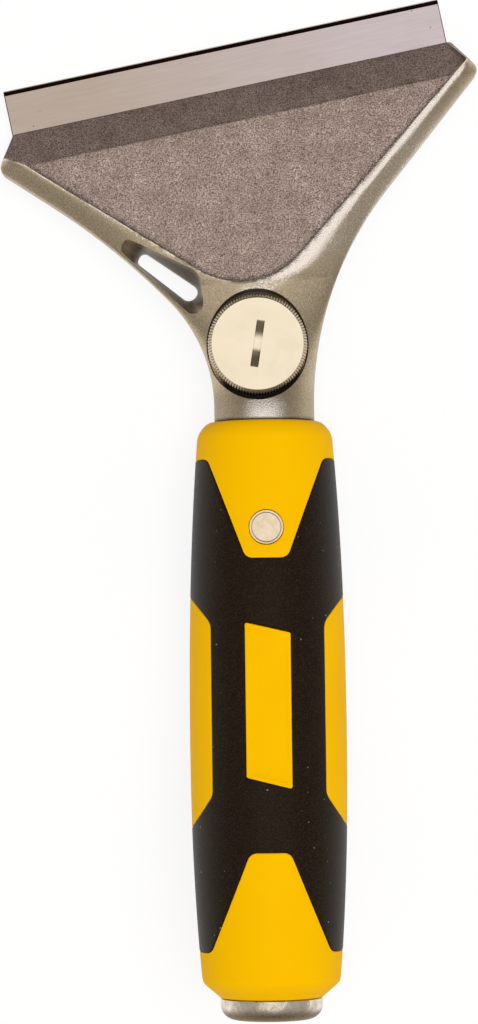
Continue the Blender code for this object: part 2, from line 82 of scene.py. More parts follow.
# Head casting
LIP_V, LIP_Z, LIP_EDGE_Z, LIP_ROUND = 75.2, 1.2, 0.9, 1.0  # the thin lip over the blade
FACET_V, FACET_BLEND = 67.1, 0.2  # the crease where the panel bends down to the lip
PANEL_Z = 6.0
RIM_SHARE = (0.93, 0.7)  # how much of the rim slopes away, on the left and on the right
RIM_EDGE_Z, RIM_END_V = 3.7, 69.8  # its outer level, and where it starts to fall to the lip
RIM_POWER = 1.25  # 1 is a straight slope, and 2 an ellipse as at the neck
NECK_RADIUS, NECK_DEPTH = 11.2, 2.6
NECK_END, TANG_START = 0.05 - NECK_DEPTH, -0.05 - NECK_DEPTH  # the step down to the tang
CROWN_Y, CROWN_FLAT = 30.0, 0.5  # where the neck's crown dies out, and the flat strip along it
PARTING_Z = 0.4  # half of the flat along the mould's parting line
FAN = (16.0, 62.0)  # sections turn from square to the handle to along the blade
FRONT = (8.0, 38.0)  # the front turns from the round neck to a flat face with a rim
BACK = (4.0, 40.0)  # and so does the back
BACK_Z, BACK_EDGE_Z, BACK_ROUND = -3.6, -1.5, 2.0
BED_Z = -0.35  # ceiling of the clamp plate's recess
BLADE_GAP = 0.1  # clearance over the blade
PLATE_ROOM = 0.4  # clearance round the clamp plate
WEB_Z = 3.2  # ceiling of the cored pockets under the panel
HANG_HOLE_Z = -1.0  # level to which the hang slot's mouth falls
TANG_RADIUS, TANG_END, TANG_CHAMFER = 8.4, -42.0, 1.0
CREASE_ENDS = (-60.0, 64.0)  # a line along the blade runs past both sides of the head
FRONT_LINES = (0.06, 0.25, 0.6, 1.1, 1.8, 2.5, 3.2, 3.6, 4.1)  # depths at which the mesh follows the outline
BACK_LINES = (0.06, 0.25, 0.6, 1.1, 1.6, BACK_ROUND)

# Finishes of the head: how strongly its places are blasted, buffed and painted with a highlight, and darkened
# with painted shade
HEAD_FINISHES = ("blasted", "buffed_and_highlit", "painted_shade")
BACK_FINISHES = (0.8, 0.0, 0.2)
# Shares of painted highlight on buffed places: the lands, the neck's streak, the bridge and the right flank
BUFFED_LIT_LANDS = (0.7, 1.3)  # on the left and on the right, where more than 1 leaves no grain dull
BUFFED_LIT_NECK, BUFFED_LIT_BRIDGE, BUFFED_LIT_SLOPE = 0.95, 0.65, 0.42
# Shares of painted shade: in the hang slot's mouth, on the strip by the lip's right end, along the lip, and
# on the neck's sides
SHADE_MOUTH, SHADE_STRIP, SHADE_LIP = 0.75, 0.6, 0.8
SHADE_NECK_SIDES = (0.32, 0.2)  # on the left and on the right

# Clamp screw, along its own axis
SCREW_AT = np.array((-1.35, 17.1))
POCKET_RADIUS, POCKET_WAIST, POCKET_Z = 12.6, 11.4, 2.4  # along the handle, across it, and its floor
KNURL_RADIUS, KNURL_START = 11.1, 10.75  # over the teeth, and at their upper ends
KNURL_LEAD, KNURL_RUNOUT = 0.5, 0.7  # chamfers below and above the teeth
FACE_RADIUS, FACE_Z = 10.35, 9.2
KNURL_TOP = FACE_Z - 0.35  # where the teeth run out under the face
SEAT_Z = 3.4
SHANK_RADIUS, SHANK_END, SHANK_ROOM, SHANK_CHAMFER = 4.0, -7.8, 0.3, 0.8
GROOVE_TOP, GROOVE_LOW, GROOVE_DEPTH = -0.45, -1.65, 0.8  # for the retaining ring
COIN_SLOT_SAW, COIN_SLOT_TURN = 9.0, math.radians(-9.0)  # the saw's radius, and the slot's turn at rest

# Clamp plate
PLATE_V = LIP_V - 0.3
PLATE_TOP, PLATE_BACK, PLATE_LIP, PLATE_BEVEL = -0.5, -3.9, 1.6, 2.8  # levels, and its bevelled lip
PLATE_EDGE = 0.4
BOSS_RADIUS, BOSS_END, TAIL = 8.2, -8.2, 8.4  # the tail is the plate round the boss
RING_ROOM_RADIUS, RING_ROOM_Z = 7.0, -1.8  # recess for the retaining ring
THREAD_HOLE = 4.1

# Handle
HANDLE_LENGTH = 128.0
COLLAR_RADIUS, COLLAR_Y, MOUTH_RIM = 15.2, -3.8, 12.3
COLLAR_POWER = 1.5  # a soft chamfer, between flat and round
BELLY_RADIUS, BELLY_Y, BELLY_POWER = 17.55, -70.0, 2.2
BUTT_RADIUS, BUTT_Y, BUTT_RIM = 15.5, -123.6, 11.55
BUTT_SOFTENING = ((0.25, 1.0), (0.8, 1.7))  # points in and down from the butt that round its chamfer
GRIP_THICK, GRIP_SEAT = 2.2, 2.35  # of the rubber, and how deep the core is cut for it
GRIP_TOP, GRIP_END = -7.0, -119.2
CORE_BORE, MOUTH_BORE, MOUTH_SHOULDER = 10.15, 11.35, -2.75  # for the tube, and wider for the neck
HALF_GIRTH = BELLY_RADIUS * math.pi / 2
PIN_Y, PIN_RADIUS, PIN_HOLE, PIN_HOLE_EDGE = -24.0, 3.75, 3.9, 0.15
FIELD_WALL = 0.16  # slope round the centre pad's sunk field
CAP_RADIUS, CAP_SHANK, CAP_SEAT, CAP_END, CAP_SHANK_END = 11.45, 8.45, -128.15, -133.0, -119.0
SKIN = 0.025  # how far round surfaces lie inside the true curve, like the solids' chords
REACH = 40.0  # how far an outline runs past the piece that it cuts


def skewed(u, v):
    """A point of the blade's frame in the tool's frame."""
    return (u * math.cos(SKEW) - v * math.sin(SKEW), u * math.sin(SKEW) + v * math.cos(SKEW))


# Outlines, as corners (x, y, radius), anticlockwise
HEAD_LEFT = [(*skewed(-41.6, LIP_V), 0.6), (-58.8, 57.0, 2.0), (-34.1, 40.8, 150.0),
             (-NECK_RADIUS, 17.9, 35.0), (-NECK_RADIUS, NECK_END, 0.0)]
TANG = [(-TANG_RADIUS, TANG_START, 0.0), (-TANG_RADIUS, TANG_END + TANG_CHAMFER, 0.0),
        (TANG_CHAMFER - TANG_RADIUS, TANG_END, 0.0), (TANG_RADIUS - TANG_CHAMFER, TANG_END, 0.0),
        (TANG_RADIUS, TANG_END + TANG_CHAMFER, 0.0), (TANG_RADIUS, TANG_START, 0.0)]
HEAD_RIGHT = [(NECK_RADIUS, NECK_END, 0.0), (NECK_RADIUS, 30.9, 78.0), (49.2, 78.6, 1.9),
              (*skewed(59.0, LIP_V), 0.9)]
PANEL = [(-1.6, 26.0, 17.6), (46.4, 80.7, 0.6), (40.4, 87.1, 0.0), (*skewed(-41.6, LIP_V + 2), 0.0),
         (-62.5, 61.2, 0.0), (-53.0, 58.1, 1.0)]
PLATE = [(*skewed(-41.6, PLATE_V), 0.6), (*skewed(-41.6, 65.6), 2.0), (-9.5, 33.5, 10.0),
         (SCREW_AT[0] - TAIL, SCREW_AT[1] - TAIL, TAIL), (SCREW_AT[0] + TAIL, SCREW_AT[1] - TAIL, TAIL),
         (8.5, 30.0, 20.0), (*skewed(58.0, 65.6), 2.0), (*skewed(58.0, PLATE_V), 0.6)]
HANG_MOUTH = [(-30.9, 41.7, 1.5), (-31.7, 38.7, 1.5), (-13.1, 21.3, 2.2), (-13.6, 33.2, 5.0)]
HANG_HOLE = [(-27.0, 39.3, 1.4), (-28.3, 36.5, 1.4), (-16.2, 26.9, 1.9), (-13.9, 30.3, 1.9)]
BLADE_SEAT = [(*skewed(-42.1, 65.0), 0.0), (*skewed(58.5, 65.0), 0.0), (*skewed(58.5, 71.0), 0.0),
              (*skewed(70.0, 71.0), 0.0), (*skewed(70.0, 95.0), 0.0), (*skewed(-55.0, 95.0), 0.0),
              (*skewed(-55.0, 71.0), 0.0), (*skewed(-42.1, 71.0), 0.0)]
CORE_LEFT = [(*skewed(-31.0, 62.6), 2.0), (-10.5, 37.5, 2.0), (-3.2, 36.5, 2.0), (*skewed(8.0, 62.6), 2.0)]
CORE_RIGHT = [(*skewed(12.0, 62.6), 2.0), (1.0, 36.5, 2.0), (8.5, 36.5, 2.0), (*skewed(48.5, 62.6), 2.0)]
WINDOW_NECK = [(-REACH, REACH, 0.0), (-REACH, -8.5, 0.0), (-13.0, -8.5, 1.8), (-4.7, -30.8, 2.2),
               (4.7, -30.8, 2.2), (13.0, -8.5, 1.8), (REACH, -8.5, 0.0), (REACH, REACH, 0.0)]
WINDOW_BUTT = [(-REACH, -170.0, 0.0), (REACH, -170.0, 0.0), (REACH, -117.7, 0.0), (13.4, -117.7, 1.8),
               (4.5, -95.4, 2.2), (-4.5, -95.4, 2.2), (-13.4, -117.7, 1.8), (-REACH, -117.7, 0.0)]
WINDOW_RIGHT = [(REACH, -9.0, 0.0), (12.65, -45.0, 4.0), (12.65, -82.9, 4.0), (REACH, -125.0, 0.0)]
WINDOW_LEFT = [(-x, y, radius) for x, y, radius in reversed(WINDOW_RIGHT)]
WINDOW_CENTRE = [(-5.15, -44.8, 0.5), (-5.15, -79.0, 0.5), (5.15, -81.6, 0.5), (5.15, -47.2, 0.5)]


def tool_frame():
    """Where the tool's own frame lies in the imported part, from the screw's axis and the strike face."""
    record = frame["record"]
    screw = next(joint for joint in record["behaviour"]["joints"] if joint["name"] == "screw_turn")
    face = next(mount for mount in record["mounts"] if mount["name"] == "strike_face")
    out = Vector(screw["axis"]).normalized()
    ahead = -Vector(face["axis"])
    ahead = (ahead - out * ahead.dot(out)).normalized()
    placed = Matrix((ahead.cross(out), ahead, out)).transposed().to_4x4()
    placed.translation = Vector(face["pos_m"]) - ahead * CAP_END * MM
    return placed


TOOL = tool_frame()


def linear(code):
    """The linear colour of an sRGB hex value."""
    shares = [int(code[place:place + 2], 16) / 255 for place in (1, 3, 5)]
    return tuple(share / 12.92 if share <= 0.04045 else ((share + 0.055) / 1.055) ** 2.4 for share in shares)


def length(name, description, millimetres):
    """A property for a length, which a user sees in the scene's units."""
    return FloatProperty(name=name, description=description, default=millimetres * MM, min=0.0,
                         precision=5, subtype="DISTANCE", unit="LENGTH")


def colour(name, description, code):
    """A property for a colour, with its default as an sRGB hex value."""
    return FloatVectorProperty(name=name, description=description, default=linear(code), size=3,
                               min=0.0, max=1.0, subtype="COLOR")


class ScraperSizes(bpy.types.PropertyGroup):
    """Sizes of the finishing details."""

    mesh_step: length("Mesh step", "Distance between the points of cast and moulded surfaces", 0.9)
    panel_step: length("Panel step", "How far the panel lies below the polished rim", 0.25)
    cast_edge: length("Cast edge", "Width of the sloped walls round cast recesses", 0.3)
    blade_grind: length("Blade grind", "Width of the ground bevel along the blade's edges", 1.15)
    knurl_teeth: IntProperty(name="Knurl teeth", description="Teeth round the clamp screw",
                             default=104, min=12)
    knurl_depth: length("Knurl depth", "Depth of the clamp screw's teeth", 0.4)
    coin_slot_length: length("Coin slot length", "Length of the slot in the screw's face", 10.5)
    coin_slot_width: length("Coin slot width", "Width of the slot in the screw's face", 1.8)
    rubber_edge: length("Rubber edge", "Rounding of the rubber round its windows", 0.3)
    pad_edge: length("Pad edge", "Rounding of the plastic pads in the windows", 0.22)
    pad_gap: length("Pad gap", "Gap between a pad and the rubber round it", 0.06)
    field_border: length("Field border", "Width of the border round the centre pad's sunk field", 1.0)
    field_depth: length("Field depth", "How far the centre pad's field is sunk", 0.1)
    pin_chamfer: length("Pin chamfer", "Chamfer on the ends of the cross pin", 0.5)
    cap_round: length("Cap rounding", "Rounding of the strike cap's rim", 3.5)


class ScraperColours(bpy.types.PropertyGroup):
    """Colours of the finishes."""

    panel_light: colour("Panel light grain", "Bright grains of the blasted panel", "#f7ddd2")
    panel_dark: colour("Panel dark grain", "Dark grains of the blasted panel", "#7b665b")
    rim: colour("Rim", "Satin zinc of the head's flanks and neck", "#d6c3a6")
    rim_dark: colour("Rim grain", "Dark grains in the satin zinc", "#8a785f")
    # Also stands for the painted highlight on the head's buffed places
    land: colour("Land", "Linished zinc of the head's lands", "#f6eae0")
    # Painted shade for the head's recesses, lip, tips and neck, and for the strike cap's end
    shade_colour: colour("Grime", "Dirt in the head's recesses", "#2a2018")
    # Painted shade between the screw's teeth and at the ends of its slot
    plating_shade: colour("Tarnish", "Dirt on the screw's plating", "#46341c")
    cap: colour("Strike cap", "Bare cast zinc of the strike cap", "#d6c8b0")
    plating: colour("Screw plating", "Warm nickel plate of the clamp screw", "#ecddc3")
    blade: colour("Blade", "Ground steel of the blade's faces", "#d7cad0")
    blade_warm: colour("Blade tint", "Warm tint of the ground steel at the blade's left end", "#c0afa2")
    # Painted dark for the dark reflection that the ground bevels show
    bevel: colour("Blade bevel", "Hardened steel of the ground bevels", "#6a463f")
    plate: colour("Clamp plate", "Zinc-plated steel of the clamp plate", "#b4b0ab")
    tube: colour("Core tube", "Drawn aluminium of the core tube", "#c2c2c4")
    pin: colour("Cross pin", "Turned steel of the cross pin", "#e8d3b7")
    plastic: colour("Plastic", "Yellow plastic of the handle's core", "#fdc000")
    rubber: colour("Rubber", "Black rubber of the grip", "#120a03")
    floor: colour("Floor", "Paper under the tool", "#fefefe")


# Shapes
def smooth(start, end, value):
    """0 before start and 1 after end, with a soft step between them."""
    part = np.clip((value - start) / (end - start), 0.0, 1.0)
    return part * part * (3 - 2 * part)


def mix(first, second, part):
    """A value part of the way from one to another."""
    return first + (second - first) * part


def quarter(distance, width, low, high, power=2.0):
    """A quarter superellipse that rises from low at a wall to high at a width from it."""
    away = 1 - np.clip(distance / width, 0.0, 1.0)
    return mix(low, high, (1 - away ** power) ** (1 / power))


def sunk(level, floor, depth, wall):
    """A surface lowered to a floor inside an outline, over a sloped wall."""
    return mix(level, np.minimum(level, floor), smooth(0.0, wall, depth))


def raised(level, ceiling, depth, wall):
    """A surface raised to a ceiling inside an outline, over a sloped wall."""
    return -sunk(-level, -ceiling, depth, wall)


def arc(centre, spoke, turn):
    """Points of an arc that turns a spoke about a centre."""
    radius = np.hypot(*spoke)
    step = min(ARC_STEP, 2 * math.acos(1 - min(ARC_SAG / radius, 1.0)))
    angles = np.linspace(0.0, turn, max(3, math.ceil(abs(turn) / step)) + 1)
    turned_x = spoke[0] * np.cos(angles) - spoke[1] * np.sin(angles)
    turned_y = spoke[0] * np.sin(angles) + spoke[1] * np.cos(angles)
    return np.column_stack((turned_x, turned_y)) + centre


def circle(centre, radius):
    """Points of a full circle."""
    return arc(np.array(centre), np.array((radius, 0.0)), math.tau)[:-1]


def rounded(corners):
    """The points of an outline given as corners with radii."""
    points = []
    for place, (x, y, radius) in enumerate(corners):
        corner = np.array((x, y))
        if radius == 0.0:
            points.append(corner[None])
            continue
        back = np.array(corners[place - 1][:2]) - corner
        back /= np.hypot(*back)
        ahead = np.array(corners[(place + 1) % len(corners)][:2]) - corner
        ahead /= np.hypot(*ahead)
        half = math.acos(back @ ahead) / 2
        inwards = (back + ahead) / np.hypot(*(back + ahead))
        centre = corner + inwards * radius / math.sin(half)
        spoke = corner + back * radius / math.tan(half) - centre
        turn = math.copysign(math.pi - 2 * half, ahead[0] * back[1] - ahead[1] * back[0])
        points.append(arc(centre, spoke, turn))
    return np.concatenate(points)


def divided(line, step, closed=True):
    """A line with extra points, so that no stretch of it is longer than a step."""
    ends = np.roll(line, -1, axis=0) if closed else line[1:]
    stretches = []
    for start, end in zip(line, ends):
        parts = max(1, math.ceil(np.hypot(*(end - start)) / step))
        stretches.append(start + (end - start) * np.arange(parts)[:, None] / parts)
    if not closed:
        stretches.append(line[-1:])
    return np.concatenate(stretches)


def straight(start, end, step):
    """A straight line for a sheet to follow, as (points, closed)."""
    return divided(np.array((start, end)), step, closed=False), False


def depth_in(points, loop):
    """How far each point lies inside a loop, and below 0 outside it."""
    nearest = np.full(len(points), np.inf)
    inside = np.zeros(len(points), bool)
    for start, end in zip(loop, np.roll(loop, -1, axis=0)):
        along = end - start
        if not along.any():
            continue
        away = points - start
        share = np.clip(away @ along / (along @ along), 0.0, 1.0)
        gap = away - share[:, None] * along
        nearest = np.minimum(nearest, (gap * gap).sum(axis=1))
        crosses = (start[1] > points[:, 1]) != (end[1] > points[:, 1])
        inside ^= crosses & ((away[:, 0] * along[1] < away[:, 1] * along[0]) == (along[1] > 0))
    return np.where(inside, 1.0, -1.0) * np.sqrt(nearest)


def follow(loop, depths, step):
    """Lines that follow a loop at some depths inside it, as (points, closed)."""
    base = divided(loop, step)
    along = np.roll(base, -1, axis=0) - np.roll(base, 1, axis=0)
    inwards = np.column_stack((-along[:, 1], along[:, 0])) / np.hypot(*along.T)[:, None]
    lines = []
    for depth in depths:
        moved = base + inwards * depth
        kept = np.abs(depth_in(moved, loop) - depth) < 0.02
        if kept.all():
            lines.append((moved, True))
            continue
        starts = np.flatnonzero(kept & ~np.roll(kept, 1))
        for start in starts:
            run = np.roll(kept, -start)
            size = len(run) if run.all() else int(np.argmin(run))
            if size > 1:
                lines.append((np.roll(moved, -start, axis=0)[:size], False))
    return lines


def sheet(loops, lines, step, cover):
    """Flat points and triangles inside some loops, which follow lines, where a cover's depth is above 0."""
    points = list(np.concatenate(loops))
    edges = []
    first = 0
    for loop in loops:
        places = range(first, first + len(loop))
        edges += zip(places, [*places[1:], first])
        first += len(loop)
    for line, closed in lines:
        kept = cover(line) > 0.02
        places = np.where(kept, len(points) + np.cumsum(kept) - 1, -1)
        after = np.roll(places, -1) if closed else np.append(places[1:], -1)
        edges += [(int(a), int(b)) for a, b in zip(places, after) if a >= 0 and b >= 0]
        points += list(line[kept])
    tree = kdtree.KDTree(len(points))
    for place, (x, y) in enumerate(points):
        tree.insert((x, y, 0.0), place)
    tree.balance()
    low, high = np.min(points, axis=0), np.max(points, axis=0)
    rows = np.arange(low[1], high[1], step * math.sqrt(0.75))
    columns = np.arange(low[0], high[0], step)
    grid = np.array([(x + step / 2 * (row % 2), y) for row, y in enumerate(rows) for x in columns])
    grid = grid[cover(grid) > step / 3]
    points += [point for point in grid if tree.find((*point, 0.0))[2] > step * 0.55]
    made = geometry.delaunay_2d_cdt([Vector(point) for point in points], edges, [], 0, 1e-4, False)
    flat = np.array([corner[:] for corner in made[0]])
    triangles = np.array(made[2])
    first, second, third = flat[triangles].transpose(1, 0, 2)
    area = np.cross(second - first, third - first)
    triangles[area < 0] = triangles[area < 0][:, ::-1]
    whole = (np.abs(area) > 1e-7) & (cover((first + second + third) / 3) > 0)
    used, triangles = np.unique(triangles[whole], return_inverse=True)
    return flat[used], triangles.reshape(-1, 3)


def two_sided(outer, inner, seam=None):
    """A solid between two sheets (flat, triangles, points) with one border, walled except along a seam."""
    flat, triangles, points = outer
    inner_flat, inner_triangles, inner_points = inner
    count = len(points)
    sides = {side for a, b, c in triangles.tolist() for side in ((a, b), (b, c), (c, a))}
    rim = sorted((a, b) for a, b in sides if (b, a) not in sides)
    if seam is not None:
        rim = [(a, b) for a, b in rim if not (seam[a] and seam[b])]
    below = {tuple(place): count + number for number, place in enumerate(inner_flat.round(3).tolist())}
    under = [below.get(tuple(place)) for place in flat.round(3).tolist()]
    faces = triangles.tolist() + (inner_triangles[:, ::-1] + count).tolist()
    faces += [(a, under[a], under[b], b) for a, b in rim]
    return np.concatenate((points, inner_points)), faces


def turned(profile, facets, axis="Z"):
    """A solid from a profile (radius, height) spun about an axis, with flat ends."""
    profile = np.array(profile)
    turns = np.linspace(0.0, math.tau, facets, endpoint=False)
    radius, height = np.repeat(profile, facets, axis=0).T
    turns = np.tile(turns, len(profile))
    across, up = radius * np.cos(turns), radius * np.sin(turns)
    points = np.column_stack((across, up, height) if axis == "Z" else (up, height, across))
    faces = [tuple(range(facets)), tuple(range(len(points) - facets, len(points)))]
    for ring in range(len(profile) - 1):
        for place in range(facets):
            a, b = ring * facets + place, ring * facets + (place + 1) % facets
            faces.append((a, b, b + facets, a + facets))
    return points, faces


def rounding(radius, corner, start, end, steps=6):
    """Profile points of a rounded corner, as turns of a radius about its centre."""
    return [(corner[0] + radius * math.cos(turn), corner[1] + radius * math.sin(turn))
            for turn in np.linspace(math.radians(start), math.radians(end), steps + 1)]


def mesh_of(name, points, faces):
    """A mesh with merged doubles and faces that point outwards."""
    mesh = bpy.data.meshes.new(name)
    mesh.from_pydata(np.asarray(points).tolist(), [], faces)
    bm = bmesh.new()
    bm.from_mesh(mesh)
    bmesh.ops.remove_doubles(bm, verts=bm.verts, dist=0.0005)
    bmesh.ops.recalc_face_normals(bm, faces=bm.faces)
    bm.to_mesh(mesh)
    bm.free()
    return mesh


def mark(mesh, name, values):
    """Keeps a number for each point of a mesh, which its finish reads."""
    mesh.attributes.new(name, "FLOAT", "POINT").data.foreach_set("value", values)


def add_object(name, data):
    """A new object in the scene."""
    item = bpy.data.objects.new(name, data)
    bpy.context.scene.collection.objects.link(item)
    return item


def add_piece(name, mesh, body, finishes, at=(0.0, 0.0, 0.0), sharp=SHARP):
    """Adds a piece from a mesh in the tool's frame, which rides on a body and stands for its CAD node."""
    mesh.transform(TOOL @ Matrix.Scale(MM, 4) @ Matrix.Translation(at))
    for finish in finishes:
        mesh.materials.append(finish)
    mesh.shade_smooth()
    mesh.set_sharp_from_angle(angle=sharp)
    piece = add_object(f"{name}_finished", mesh)
    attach(piece, body)
    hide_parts(name)


# Finishes: patterns are sized in millimetres, and the finest are drawn as coarse as they need to show
RANGE, MATH, MIX = "ShaderNodeMapRange", "ShaderNodeMath", "ShaderNodeMix"
GRIT = 0.3  # blasted and cast skin, in truth about 0.1
WHEEL_MARKS, HONE_MARKS, DRAWN_SCORES = 0.3, 0.12, 0.3  # across the marks, in truth a few hundredths
PLASTIC_SKIN, RUBBER_SKIN = 0.45, 0.32  # spark-eroded moulds, in truth about 0.1


def feed(node, inputs):
    """Sets a node's inputs to values, or links them to the sockets that feed them."""
    for key, value in inputs.items():
        socket = node.inputs[key]
        if isinstance(value, bpy.types.NodeSocket):
            node.id_data.links.new(value, socket)
        else:
            socket.default_value = (*value, 1.0) if socket.type == "RGBA" else value


def add_node(tree, kind, inputs=(), output=0, **settings):
    """Adds a node with its settings and links, and gives one of its outputs.

    Its inputs are values or the sockets that feed them, by name or number, or in the node's own order.
    """
    node = tree.nodes.new(kind)
    for name, value in settings.items():
        setattr(node, name, value)
    feed(node, inputs if isinstance(inputs, dict) else dict(enumerate(inputs)))
    return node.outputs[output]


def new_finish(name):
    """A new material with its node tree, shader and Object coordinates."""
    material = bpy.data.materials.new(name)
    material.use_nodes = True
    tree = material.node_tree
    shader = tree.nodes["Principled BSDF"]
    return material, tree, shader, add_node(tree, "ShaderNodeTexCoord", output="Object")


def lumps(place, millimetres, detail=2.0):
    """Settings of a noise whose lumps are about as wide as a real size."""
    return {"Vector": place, "Scale": 1 / (millimetres * MM), "Detail": detail, "Roughness": 0.6}


def grain(tree, place, millimetres, low, high, detail=2.0, most=1.0):
    """A pattern of lumps: 0 where their noise is low, and the most where it is high."""
    noise = add_node(tree, "ShaderNodeTexNoise", lumps(place, millimetres, detail))
    return add_node(tree, RANGE, (noise, low, high, 0.0, most))


def specks(tree, place, spacing, inner, outer, most):
    """A pattern of round specks at a real spacing, the most to an inner radius and gone at an outer one."""
    cells = {"Vector": place, "Scale": 1 / (spacing * MM)}
    away = add_node(tree, "ShaderNodeTexVoronoi", cells)
    return add_node(tree, RANGE, (away, inner / spacing, outer / spacing, most, 0.0))


def coats(tree, colour, *layers):
    """A colour with others laid over it in turn, each given as (part, colour)."""
    for part, over in layers:
        colour = add_node(tree, MIX, {0: part, 6: colour, 7: over}, 2, data_type="RGBA")
    return colour


def die_cast_zinc(colours):
    """Die-cast zinc: a satin olive grey, linished and painted with a highlight on its lands, blasted to a
    grain on the panel, and darkened with painted shade in its recesses, along its lip and on the neck's
    sides.
    """
    material, tree, shader, place = new_finish("die_cast_zinc")
    blasted, buffed_and_highlit, painted_shade = [add_node(tree, "ShaderNodeAttribute", output="Fac", attribute_name=name)
                              for name in HEAD_FINISHES]
    grit = grain(tree, place, GRIT, 0.34, 0.66)
    cloud = grain(tree, place, 5.0, 0.35, 0.7, detail=4.0, most=0.4)
    darkened, fleck = [add_node(tree, MATH, (grit, part), operation="MULTIPLY") for part in (0.65, 0.15)]
    # A painted highlight in the land's colour where the head is buffed, broken up by the grit
    worn_and_highlit = add_node(tree, MATH, (grit, 0.7, buffed_and_highlit), operation="MULTIPLY_ADD")
    worn_and_highlit = add_node(tree, RANGE, (worn_and_highlit, 0.75, 1.05))
    land = coats(tree, colours.land, (fleck, colours.rim))
    panel = coats(tree, colours.panel_dark, (grit, colours.panel_light), (cloud, colours.panel_dark),
                  (specks(tree, place, 5.0, 0.15, 0.3, 0.8), colours.land))
    # Painted shade takes the metal to the shade colour and makes it less metallic
    metal = coats(tree, colours.rim, (darkened, colours.rim_dark), (worn_and_highlit, land), (blasted, panel),
                  (painted_shade, colours.shade_colour))
    satin = add_node(tree, RANGE, (worn_and_highlit, 0.0, 1.0, 0.38, 0.26))
    relief = {"Strength": add_node(tree, RANGE, (blasted, 0.0, 1.0, 0.5, 0.7)), "Distance": 0.05 * MM,
              "Height": grit}
    feed(shader, {"Base Color": metal, "Roughness": add_node(tree, RANGE, (blasted, 0.0, 1.0, satin, 0.43)),
                  "Metallic": add_node(tree, RANGE, (painted_shade, 0.0, 1.0, 1.0, 0.2)), "Specular IOR Level": 0.08,
                  "Normal": add_node(tree, "ShaderNodeBump", relief)})
    return material


def bare_cast_zinc(colours):
    """Bare die-cast zinc as it left the mould: clouded, pitted, bright on its side, and darkened with painted
    shade at its end.
    """
    material, tree, shader, place = new_finish("bare_cast_zinc")
    painted_shade = add_node(tree, "ShaderNodeAttribute", output="Fac", attribute_name="painted_shade")
    cloud = grain(tree, place, 2.4, 0.35, 0.65, detail=4.0)
    pits = grain(tree, place, 0.4, 0.3, 0.42)
    end = coats(tree, colours.shade_colour, (pits, colours.rim_dark))
    metal = coats(tree, colours.rim_dark, (pits, colours.cap), (cloud, colours.land), (painted_shade, end))
    satin = add_node(tree, RANGE, (cloud, 0.0, 1.0, 0.38, 0.2))
    relief = {"Strength": 0.5, "Distance": 0.15 * MM, "Height": cloud}
    feed(shader, {"Base Color": metal, "Roughness": add_node(tree, RANGE, (painted_shade, 0.0, 1.0, satin, 0.5)),
                  "Metallic": 1.0, "Normal": add_node(tree, "ShaderNodeBump", relief)})
    return material


def nickel_plate(colours):
    """Bright nickel plate on turned steel: a warm mirror, a little veiled, with painted shade between the
    teeth and at the ends of the slot.
    """
    material, tree, shader, place = new_finish("nickel_plate")
    painted_shade, knurled = [add_node(tree, "ShaderNodeAttribute", output="Fac", attribute_name=name)
                      for name in ("painted_shade", "knurled")]
    haze = grain(tree, place, 5.0, 0.3, 0.7, detail=3.0)
    # Painted shade between the teeth and at the slot's ends
    plate = coats(tree, colours.plating, (haze, colours.plating * 0.97), (painted_shade, colours.plating_shade))
    veil = add_node(tree, RANGE, (haze, 0.0, 1.0, 0.16, 0.24))
    feed(shader, {"Base Color": plate, "Roughness": add_node(tree, RANGE, (knurled, 0.0, 1.0, veil, 0.55)),
                  "Metallic": add_node(tree, RANGE, (painted_shade, 0.0, 1.0, 1.0, 0.2)), "Specular IOR Level": 0.08})
    return material


def along_blade(tree, place, stretch=1.0):
    """Object coordinates turned to the blade, where a pattern can be stretched along its edge."""
    turn = math.atan2(TOOL.col[0].y, TOOL.col[0].x) + SKEW
    moved = {"Vector": place, "Location": TOOL.translation, "Rotation": (0.0, 0.0, turn),
             "Scale": (stretch, 1.0, 1.0)}
    return add_node(tree, "ShaderNodeMapping", moved, vector_type="TEXTURE")


def ground_steel(colours):
    """Hardened blade steel, flat ground: a satin grey with grinding lines, tiny specks and stains."""
    material, tree, shader, place = new_finish("ground_blade_steel")
    lines = grain(tree, along_blade(tree, place, 30.0), WHEEL_MARKS, 0.3, 0.7, detail=3.0)
    stain = grain(tree, place, 14.0, 0.4, 0.75, detail=3.0, most=0.3)
    run = add_node(tree, "ShaderNodeSeparateXYZ", (along_blade(tree, place),), "X")
    tint = (run, (BLADE_LEFT + 0.2 * BLADE_LENGTH) * MM, (BLADE_LEFT + BLADE_LENGTH) * MM)
    steel = coats(tree, colours.blade_warm, (add_node(tree, RANGE, tint), colours.blade),
                  (stain, colours.blade_warm),
                  (add_node(tree, RANGE, (lines, 0.0, 1.0, 0.12, 0.0)), colours.bevel),
                  (specks(tree, place, 4.0, 0.12, 0.18, 1.0), linear("#6a5c58")))
    satin = add_node(tree, RANGE, (lines, 0.0, 1.0, 0.31, 0.29))
    feed(shader, {"Base Color": steel, "Roughness": satin, "Metallic": 1.0})
    return material


def bevel_painted_dark(colours):
    """The blade's bevels, ground finer: steel painted dark for the dark reflection they show, with the
    wheel's marks along it.
    """
    material, tree, shader, place = new_finish("blade_bevel_painted_dark")
    lines = grain(tree, along_blade(tree, place, 40.0), HONE_MARKS, 0.3, 0.7, detail=3.0)
    steel = coats(tree, colours.bevel * 0.6, (lines, colours.bevel))
    feed(shader, {"Base Color": steel, "Roughness": 0.2, "Metallic": 1.0})
    return material


